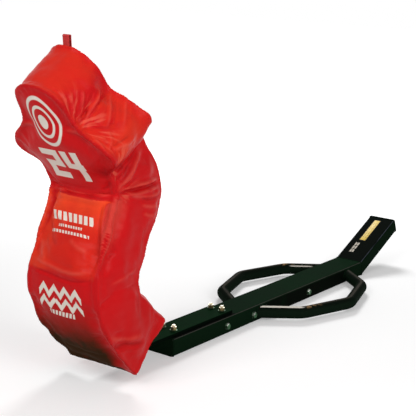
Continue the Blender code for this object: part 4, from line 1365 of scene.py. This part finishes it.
def started(name):
    """Names the primitive that was just added, leaves it in edit mode with all of it selected."""
    piece = bpy.context.object
    piece.name = name
    bpy.ops.object.mode_set(mode="EDIT")
    bpy.ops.mesh.select_mode(type="VERT")
    bpy.ops.mesh.select_all(action="SELECT")
    return piece


def draw_out(run):
    bpy.ops.mesh.extrude_region_move(TRANSFORM_OT_translate={"value": tuple(run)})


def bend_round(centre, axis, angle, steps):
    """Sweeps what is selected round the centre, by the right-hand rule about the axis."""
    bpy.ops.mesh.spin(steps=steps, angle=-angle, center=tuple(centre), axis=tuple(axis))


def draw_along(corners, bend_radius, axis, steps):
    """Draws the selected end along straight runs with a bend at each corner between them."""
    here = Vector(corners[0])
    axis = Vector(axis)
    for index in range(1, len(corners)):
        corner = Vector(corners[index])
        ahead = (corner - here).normalized()
        if index == len(corners) - 1:
            draw_out(corner - here)
            return
        after = (Vector(corners[index + 1]) - corner).normalized()
        turn = math.atan2(ahead.cross(after).dot(axis), ahead.dot(after))
        lead = bend_radius * math.tan(abs(turn) / 2)
        bend_start = corner - ahead * lead
        draw_out(bend_start - here)
        inward = axis.cross(ahead) * math.copysign(1.0, turn)
        bend_round(bend_start + inward * bend_radius, axis, turn, steps)
        here = corner + after * lead


def settle(piece, material, body, sharp=35.0):
    """Closes the mesh, puts its place in it, and gives the piece its finish and its body."""
    to_edit(piece)
    bpy.ops.mesh.select_all(action="SELECT")
    bpy.ops.mesh.remove_doubles(threshold=0.00002)
    bpy.ops.mesh.normals_make_consistent(inside=False)
    to_object()
    bpy.ops.object.transform_apply(location=True, rotation=True, scale=True)
    bpy.ops.object.shade_smooth_by_angle(angle=math.radians(sharp))
    piece.data.materials.clear()
    piece.data.materials.append(material)
    if body:
        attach(piece, body)


def round_edges(piece, width, segments=2, angle=35.0):
    bevel = piece.modifiers.new("rounded_edges", "BEVEL")
    bevel.width = width
    bevel.segments = segments
    bevel.limit_method = "ANGLE"
    bevel.angle_limit = math.radians(angle)
    bpy.context.view_layer.objects.active = piece
    bpy.ops.object.modifier_apply(modifier=bevel.name)


def side_loop(name, node, side):
    """One bent round tube, cut flush with the beam's side, with its ends closed inside the weld."""
    lead = BEAM_WIDTH / 4
    back = lead * LOOP_SHOULDER_RUN / LOOP_SHOULDER_OUT
    wall = BEAM_WIDTH / 2
    first = FRONT_Y + LOOP_START
    last = first + LOOP_SPAN
    outline = [
        (wall - lead, first - back),
        (wall + LOOP_SHOULDER_OUT, first + LOOP_SHOULDER_RUN),
        (wall + LOOP_REACH, first + LOOP_SPAN / 2),
        (wall + LOOP_SHOULDER_OUT, last - LOOP_SHOULDER_RUN),
        (wall - lead, last + back),
    ]
    height = BEAM_HEIGHT / 2
    corners = [Vector((side * across, along, height)) for across, along in outline]
    ahead = (corners[1] - corners[0]).normalized()
    bpy.ops.mesh.primitive_circle_add(
        vertices=28, radius=LOOP_TUBE / 2, location=corners[0],
        rotation=ahead.to_track_quat("Z", "Y").to_euler())
    piece = started(name)
    draw_along(corners, LOOP_BEND_RADIUS, (0.0, 0.0, 1.0), 9)
    bpy.ops.mesh.select_all(action="SELECT")
    cut = (side * (wall + SEAT_GAP), 0.0, height)
    bpy.ops.mesh.bisect(plane_co=cut, plane_no=(side, 0.0, 0.0), use_fill=True, clear_inner=True)
    to_object()
    settle(piece, TUBE_ENAMEL, "sled")
    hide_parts(node)


def loop_weld(name, side, along):
    """A rippled ring of weld metal where a loop's tube meets the beam's side at a slant."""
    place = Vector((side * BEAM_WIDTH / 2, along, BEAM_HEIGHT / 2))
    slant = math.hypot(LOOP_SHOULDER_OUT, LOOP_SHOULDER_RUN) / LOOP_SHOULDER_OUT
    round_it = 8
    bpy.ops.mesh.primitive_torus_add(
        major_segments=56, minor_segments=round_it, major_radius=LOOP_TUBE / 2, minor_radius=LOOP_WELD,
        location=place, rotation=(0.0, math.pi / 2, 0.0))
    piece = started(name)
    bpy.ops.transform.resize(value=(1.0, slant, 1.0), center_override=place)
    bpy.ops.mesh.select_all(action="DESELECT")
    to_object()
    for vertex in piece.data.vertices:
        vertex.select = (vertex.index // round_it) % 2 == 0
    to_edit(piece)
    bpy.ops.transform.shrink_fatten(value=-WELD_RIPPLE)
    to_object()
    settle(piece, WELD_ENAMEL, "sled", 60.0)


def section_weld(name, middle, up, height):
    """A thin weld bead round the beam's section, in the plane across it that holds the up direction."""
    wide = BEAM_WIDTH / 2
    tall = height / 2
    bpy.ops.mesh.primitive_circle_add(vertices=8, radius=SEAM_WELD, rotation=(0.0, math.pi / 2, 0.0),
                                      location=(0.0, -tall, 0.0))
    piece = started(name)
    corners = [(0.0, -tall), (wide, -tall), (wide, tall), (-wide, tall), (-wide, -tall), (0.0, -tall)]
    draw_along([Vector((*corner, 0.0)) for corner in corners], BEAM_CORNER, (0.0, 0.0, 1.0), 4)
    to_object()
    turn = Matrix(((1, 0, 0), up, Vector((1, 0, 0)).cross(Vector(up)))).transposed()
    piece.data.transform(Matrix.Translation(middle) @ turn.to_4x4() @ Matrix(piece.matrix_world))
    piece.matrix_world = Matrix.Identity(4)
    for vertex in piece.data.vertices:
        vertex.co.z = max(vertex.co.z, 0.0)
    settle(piece, WELD_ENAMEL, "sled", 60.0)


def label_plate():
    """Thin yellow plate riveted flat on the tail."""
    low, high = LABEL_ACROSS
    start, end = LABEL_ALONG
    middle = (low + high) / 2
    centre = (middle, (start + end) / 2, LABEL_LIFT)
    bpy.ops.mesh.primitive_plane_add(size=1.0, location=centre)
    piece = started("label_plate")
    bpy.ops.transform.resize(value=(high - low, end - start, 1.0), center_override=centre)
    draw_out((0.0, 0.0, LABEL_THICKNESS))
    to_object()
    round_edges(piece, 0.0003, 2)
    pieces = [piece]
    for along in (start + RIVET_FROM_END, end - RIVET_FROM_END):
        seat = (middle, along, LABEL_THICKNESS)
        bpy.ops.mesh.primitive_uv_sphere_add(segments=16, ring_count=8, radius=RIVET_RADIUS, location=seat)
        rivet = started("rivet")
        bpy.ops.transform.resize(value=(1.0, 1.0, 0.5), center_override=seat)
        bpy.ops.mesh.bisect(plane_co=(0.0, 0.0, LABEL_THICKNESS * 0.7), plane_no=(0.0, 0.0, 1.0),
                            use_fill=True, clear_inner=True)
        to_object()
        pieces.append(rivet)
    settle(joined_on_tail(pieces), YELLOW_LABEL, "sled")


def tail_dashes():
    """Two rows of small white dashes painted on the tail, below the label."""
    dashes = []
    for across in DASHES_ACROSS:
        for along in DASHES_ALONG:
            centre = (across, along, DASH_LIFT)
            bpy.ops.mesh.primitive_plane_add(size=1.0, location=centre)
            dash = started("tail_dashes")
            bpy.ops.transform.resize(value=(*DASH_SIZE, 1.0), center_override=centre)
            draw_out((0.0, 0.0, DASH_THICKNESS))
            to_object()
            dashes.append(dash)
    settle(joined_on_tail(dashes[::-1]), WHITE_PAINT, "sled")


def joined_on_tail(pieces):
    """Joins pieces that were laid out flat on the ground into the first of them, on top of the tail."""
    choose(*pieces)
    bpy.ops.object.join()
    bpy.ops.object.transform_apply(location=True, rotation=True, scale=True)
    pieces[0].data.transform(tail_place())
    return pieces[0]


def tail_place():
    """From flat work on the ground to the tail's top: across, along from its bend, and off it."""
    return Matrix.Translation((0.0, BEAM_LENGTH / 2, BEAM_HEIGHT)) @ Matrix.Rotation(TAIL_RISE, 4, "X")


def cylinder(name, corners, radius, height):
    """Upright cylinder or prism from the origin up, left in edit mode."""
    bpy.ops.mesh.primitive_cylinder_add(vertices=corners, radius=radius, depth=height,
                                        location=(0, 0, height / 2))
    return started(name)


def hex_blank(name, height, both_ends):
    """Six-sided block from the origin up, its corners turned off on the outer end, or on both."""
    block = cylinder(name, 6, HEX_CORNER, height)
    to_object()
    turned = cylinder("turned_blank", 48, HEX_CORNER * 1.01, height)
    bpy.ops.mesh.select_mode(type="EDGE")
    bpy.ops.mesh.select_all(action="DESELECT")
    to_object()
    for edge in turned.data.edges:
        ends = [turned.data.vertices[index].co.z for index in edge.vertices]
        edge.select = min(ends) > 0 or (both_ends and max(ends) < 0)
    bpy.ops.object.mode_set(mode="EDIT")
    bpy.ops.mesh.bevel(offset=HEX_CHAMFER, segments=1, affect="EDGES")
    to_object()
    merge(block, turned, "INTERSECT")
    return block


def merge(piece, other, operation):
    """Applies a boolean with another object and removes that object."""
    apply_modifier(piece, "BOOLEAN", "joined", operation=operation, object=other, solver="EXACT")
    bpy.data.objects.remove(other, do_unlink=True)


def rod(name, low, high, threads):
    """Round rod from low to high, with rings of thread below its end."""
    bpy.ops.mesh.primitive_circle_add(vertices=24, radius=BOLT_RADIUS, fill_type="NGON", location=(0, 0, low))
    piece = started(name)
    here = high - threads * THREAD_PITCH - BOLT_TIP
    draw_out((0.0, 0.0, here - low))
    inner = (BOLT_RADIUS - THREAD_DEPTH) / BOLT_RADIUS
    for _ in range(threads):
        for scale in (inner, 1 / inner):
            draw_out((0.0, 0.0, THREAD_PITCH / 2))
            here += THREAD_PITCH / 2
            bpy.ops.transform.resize(value=(scale, scale, 1.0), center_override=(0, 0, here))
    draw_out((0.0, 0.0, BOLT_TIP))
    bpy.ops.transform.resize(value=(TIP_SCALE, TIP_SCALE, 1.0), center_override=(0, 0, high))
    bpy.ops.mesh.select_all(action="SELECT")
    bpy.ops.mesh.normals_make_consistent(inside=False)
    to_object()
    return piece


def bolt_pattern(name, shank):
    """Hex bolt: head below the origin with a washer face, shank up from it, thread at the end."""
    head = hex_blank(name, HEAD_HEIGHT, False)
    head.data.transform(Matrix.Translation((0, 0, HEAD_HEIGHT / 2)))
    head.matrix_world = Matrix.Rotation(math.pi, 4, "X")
    merge(head, rod("shank", -HEAD_HEIGHT / 2, shank, THREAD_RINGS), "UNION")
    return seated(head)


def bored(piece, height):
    """Takes a bolt's hole out of a nut or washer of that height."""
    merge(piece, rod("bore", -BORE_SPARE, height + BORE_SPARE, 0), "DIFFERENCE")


def nut_pattern():
    nut = hex_blank("nut_pattern", NUT_HEIGHT, True)
    bored(nut, NUT_HEIGHT)
    return seated(nut)


def washer_pattern():
    washer = cylinder("washer_pattern", 40, WASHER_RADIUS, WASHER_THICKNESS)
    to_object()
    bored(washer, WASHER_THICKNESS)
    round_edges(washer, 0.0004, 1, 60.0)
    return seated(washer)


def seated(piece):
    """Puts a pattern's place and turn in its mesh."""
    choose(piece)
    bpy.ops.object.transform_apply(location=True, rotation=True, scale=True)
    return piece


def fastener_finish(node):
    if "washer" in node:
        return GREEN_WASHER
    return CROSS_ZINC if "cross" in node else CLAMP_ZINC


def copied(pattern, name, place, node):
    """One more of a repeated piece, with its own mesh, in a CAD node's place."""
    piece = added(name, pattern.data.copy())
    piece.data.transform(place)
    settle(piece, fastener_finish(node), "sled", 28.0)
    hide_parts(node)


def spun(place, turn):
    """The same place, turned about its own axis, because no two nuts end up alike."""
    return place @ Matrix.Rotation(math.radians(turn), 4, "Z")


def fasteners():
    """Bolts, nuts and washers, each pattern made once and copied into every place."""
    nut = nut_pattern()
    washer = washer_pattern()
    clamp = bolt_pattern("clamp_pattern", CLAMP_NUT_LOW + NUT_HEIGHT + BOLT_END - CLAMP_HEAD_TOP)
    turn = 0.0
    for row, along in CLAMP_ROWS.items():
        for hand, side in (("left", -1), ("right", 1)):
            turn += 17.0
            corner = f"{row}_{hand}"
            spot = Matrix.Translation((side * CLAMP_GAUGE / 2, FRONT_Y + along, 0.0))
            for pattern, kind, form, height, angle in (
                    (clamp, "bolt", "hex", CLAMP_HEAD_TOP, 0.0),
                    (washer, "washer", "ring", CLAMP_WASHER_LOW, 0.0),
                    (nut, "nut", "hex", CLAMP_NUT_LOW, turn)):
                place = spun(spot @ Matrix.Translation((0.0, 0.0, height)), angle)
                copied(pattern, f"clamp_{kind}_{corner}_{form}", place, f"clamp_{kind}_{corner}")
    outside = BEAM_WIDTH / 2 + SEAT_GAP
    under_head = outside + WASHER_THICKNESS + SEAT_GAP
    cross = bolt_pattern("cross_pattern", 2 * under_head + NUT_HEIGHT + BOLT_END)
    lie = Matrix.Rotation(math.radians(-90.0), 4, "Y")
    for row, along in CROSS_ROWS.items():
        turn += 23.0
        for pattern, kind, form, x in (
                (cross, f"bolt_{row}", "hex", under_head),
                (washer, f"washer_{row}_near", "ring", outside + WASHER_THICKNESS),
                (washer, f"washer_{row}_far", "ring", -outside),
                (nut, f"nut_{row}", "hex", -under_head)):
            place = spun(Matrix.Translation((x, FRONT_Y + along, BEAM_HEIGHT / 2)) @ lie, turn)
            copied(pattern, f"cross_{kind}_{form}", place, f"cross_{kind}")
    for pattern in (nut, washer, clamp, cross):
        bpy.data.objects.remove(pattern, do_unlink=True)


def welds():
    """Beads at the loops' roots, round the mitre of the tail and round both end caps."""
    for hand, side in (("left", -1), ("right", 1)):
        loop_weld(f"{hand}_loop_front_weld", side, FRONT_Y + LOOP_START)
        loop_weld(f"{hand}_loop_rear_weld", side, FRONT_Y + LOOP_START + LOOP_SPAN)
    mitre = TAIL_RISE / 2
    up = Vector((0.0, -math.sin(mitre), math.cos(mitre)))
    tall = BEAM_HEIGHT / math.cos(mitre)
    bend = Vector((0.0, BEAM_LENGTH / 2, BEAM_HEIGHT))
    section_weld("tail_weld", bend - up * tall / 2, up, tall)
    front = Vector((0.0, FRONT_Y, BEAM_HEIGHT / 2))
    section_weld("front_cap_weld", front, Vector((0.0, 0.0, 1.0)), BEAM_HEIGHT)
    along = Vector((0.0, math.cos(TAIL_RISE), math.sin(TAIL_RISE)))
    end = bend - TAIL_UP * BEAM_HEIGHT / 2 + along * TAIL_LENGTH
    section_weld("tail_cap_weld", end, TAIL_UP, BEAM_HEIGHT)


def spring_leaf():
    """Flat bar: flat on the beam, turned up in front of it, then along the pad's spine."""
    sideways = (1.0, 0.0, 0.0)
    joint = on_spine(BELLY_START + BELLY_RADIUS * (LEAF_JOINS_LEAN - FOOT_LEAN))
    run = up_spine(LEAF_JOINS_LEAN)
    corner = joint - run * ((joint.z - LEAF_MIDDLE) / run.z)
    rear = Vector((0.0, FRONT_Y + LEAF_ON_BEAM, LEAF_MIDDLE))
    bpy.ops.mesh.primitive_plane_add(size=1.0, location=rear, rotation=(math.pi / 2, 0.0, 0.0))
    piece = started("spring_leaf_bar")
    bpy.ops.transform.resize(value=(LEAF_WIDTH, 1.0, LEAF_THICKNESS), center_override=rear)
    turn = math.pi / 2 + LEAF_JOINS_LEAN
    lead = LEAF_RISE_RADIUS * math.tan(turn / 2)
    flat_length = (rear.y - corner.y) - lead
    for _ in range(LEAF_FLAT_STEPS):
        draw_out((0.0, -flat_length / LEAF_FLAT_STEPS, 0.0))
    rise_centre = Vector((0.0, corner.y + lead, LEAF_MIDDLE + LEAF_RISE_RADIUS))
    bend_round(rise_centre, sideways, -turn, LEAF_BEND_STEPS)
    draw_out(joint - (corner + run * lead))
    belly_centre = joint + behind_spine(LEAF_JOINS_LEAN) * BELLY_RADIUS
    bend_round(belly_centre, sideways, LEAF_JOINS_LEAN - BELLY_LEAN, LEAF_BEND_STEPS)
    waist_from = on_spine(WAIST_START)
    draw_out(waist_from - on_spine(BELLY_END))
    waist_centre = waist_from - behind_spine(BELLY_LEAN) * WAIST_RADIUS
    bend_round(waist_centre, sideways, WAIST_TURN, LEAF_BEND_STEPS)
    draw_out(on_spine(SPINE_LENGTH - LEAF_BELOW_TOP) - on_spine(WAIST_END))
    to_object()
    settle(piece, SPRING_ENAMEL, None)
    round_edges(piece, 0.0022)
    bpy.ops.object.shade_smooth_by_angle(angle=math.radians(40.0))
    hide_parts("spring_leaf")
    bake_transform(piece)


bpy.ops.object.select_all(action="DESELECT")
set_camera()
set_floor()
set_light()
ENAMEL = green_enamel("green_enamel", (0.0058, 0.0190, 0.0085), 0.0, stain=leaf_shadow_and_patches)
TAIL_ENAMEL = green_enamel("tail_enamel", (0.0042, 0.0062, 0.0048), 0.0, up=tuple(TAIL_UP),
                           rub_highlight=(0.085, 0.098, 0.125))
TUBE_ENAMEL = green_enamel("tube_enamel", (0.0052, 0.0085, 0.0058), 0.3, edge=(0.960, 2.0),
                           rub_highlight=(0.060, 0.055, 0.046), side=(0.0056, 0.0125, 0.0070), highlights_and_wear=loop_highlights_and_wear)
SPRING_ENAMEL = green_enamel("spring_enamel", (0.0058, 0.0240, 0.0095), 0.3, rub_highlight=(0.055, 0.038, 0.030),
                             side=(0.0014, 0.0022, 0.0017))
WELD_ENAMEL = green_enamel("weld_enamel", (0.0058, 0.0170, 0.0085), 0.0, edge=(2.0, 3.0))
# Each fastener finish paints a highlight on faces turned its given way and shade on the others.
CLAMP_ZINC = zinc_plate("yellow_zinc", (0.86, 0.80, 0.62, 1), (0.24, 0.185, 0.085, 1),
                        (0.05, 0.040, 0.022, 1), (0.10, -0.30, 0.95), (0.62, 0.22))
CROSS_ZINC = zinc_plate("green_zinc", (0.92, 0.95, 0.88, 1), (0.080, 0.200, 0.095, 1),
                        (0.020, 0.060, 0.028, 1), (0.45, -0.50, 0.74), (0.74, 0.10))
GREEN_WASHER = zinc_plate("painted_washer", (0.050, 0.105, 0.050, 1), (0.020, 0.045, 0.022, 1),
                          (0.010, 0.020, 0.010, 1), (0.0, 0.0, 1.0), (0.5, 0.3))
RED_VINYL = red_vinyl()
RED_WEBBING = red_webbing()
PALE_FOAM = pale_foam()
YELLOW_LABEL = yellow_label()
WHITE_PAINT = white_paint()
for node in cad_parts:
    if node.startswith(("clamp_", "cross_")):
        paint(node, fastener_finish(node))
    elif node in ("tail", "tail_end_cap"):
        paint(node, TAIL_ENAMEL)
    elif node in ("main_beam", "front_end_cap"):
        paint(node, ENAMEL)
side_loop("right_loop_tube", "right_side_loop", 1)
side_loop("left_loop_tube", "left_side_loop", -1)
spring_leaf()
welds()
fasteners()
label_plate()
tail_dashes()
foam_core()
pad_cover()
head_strap()
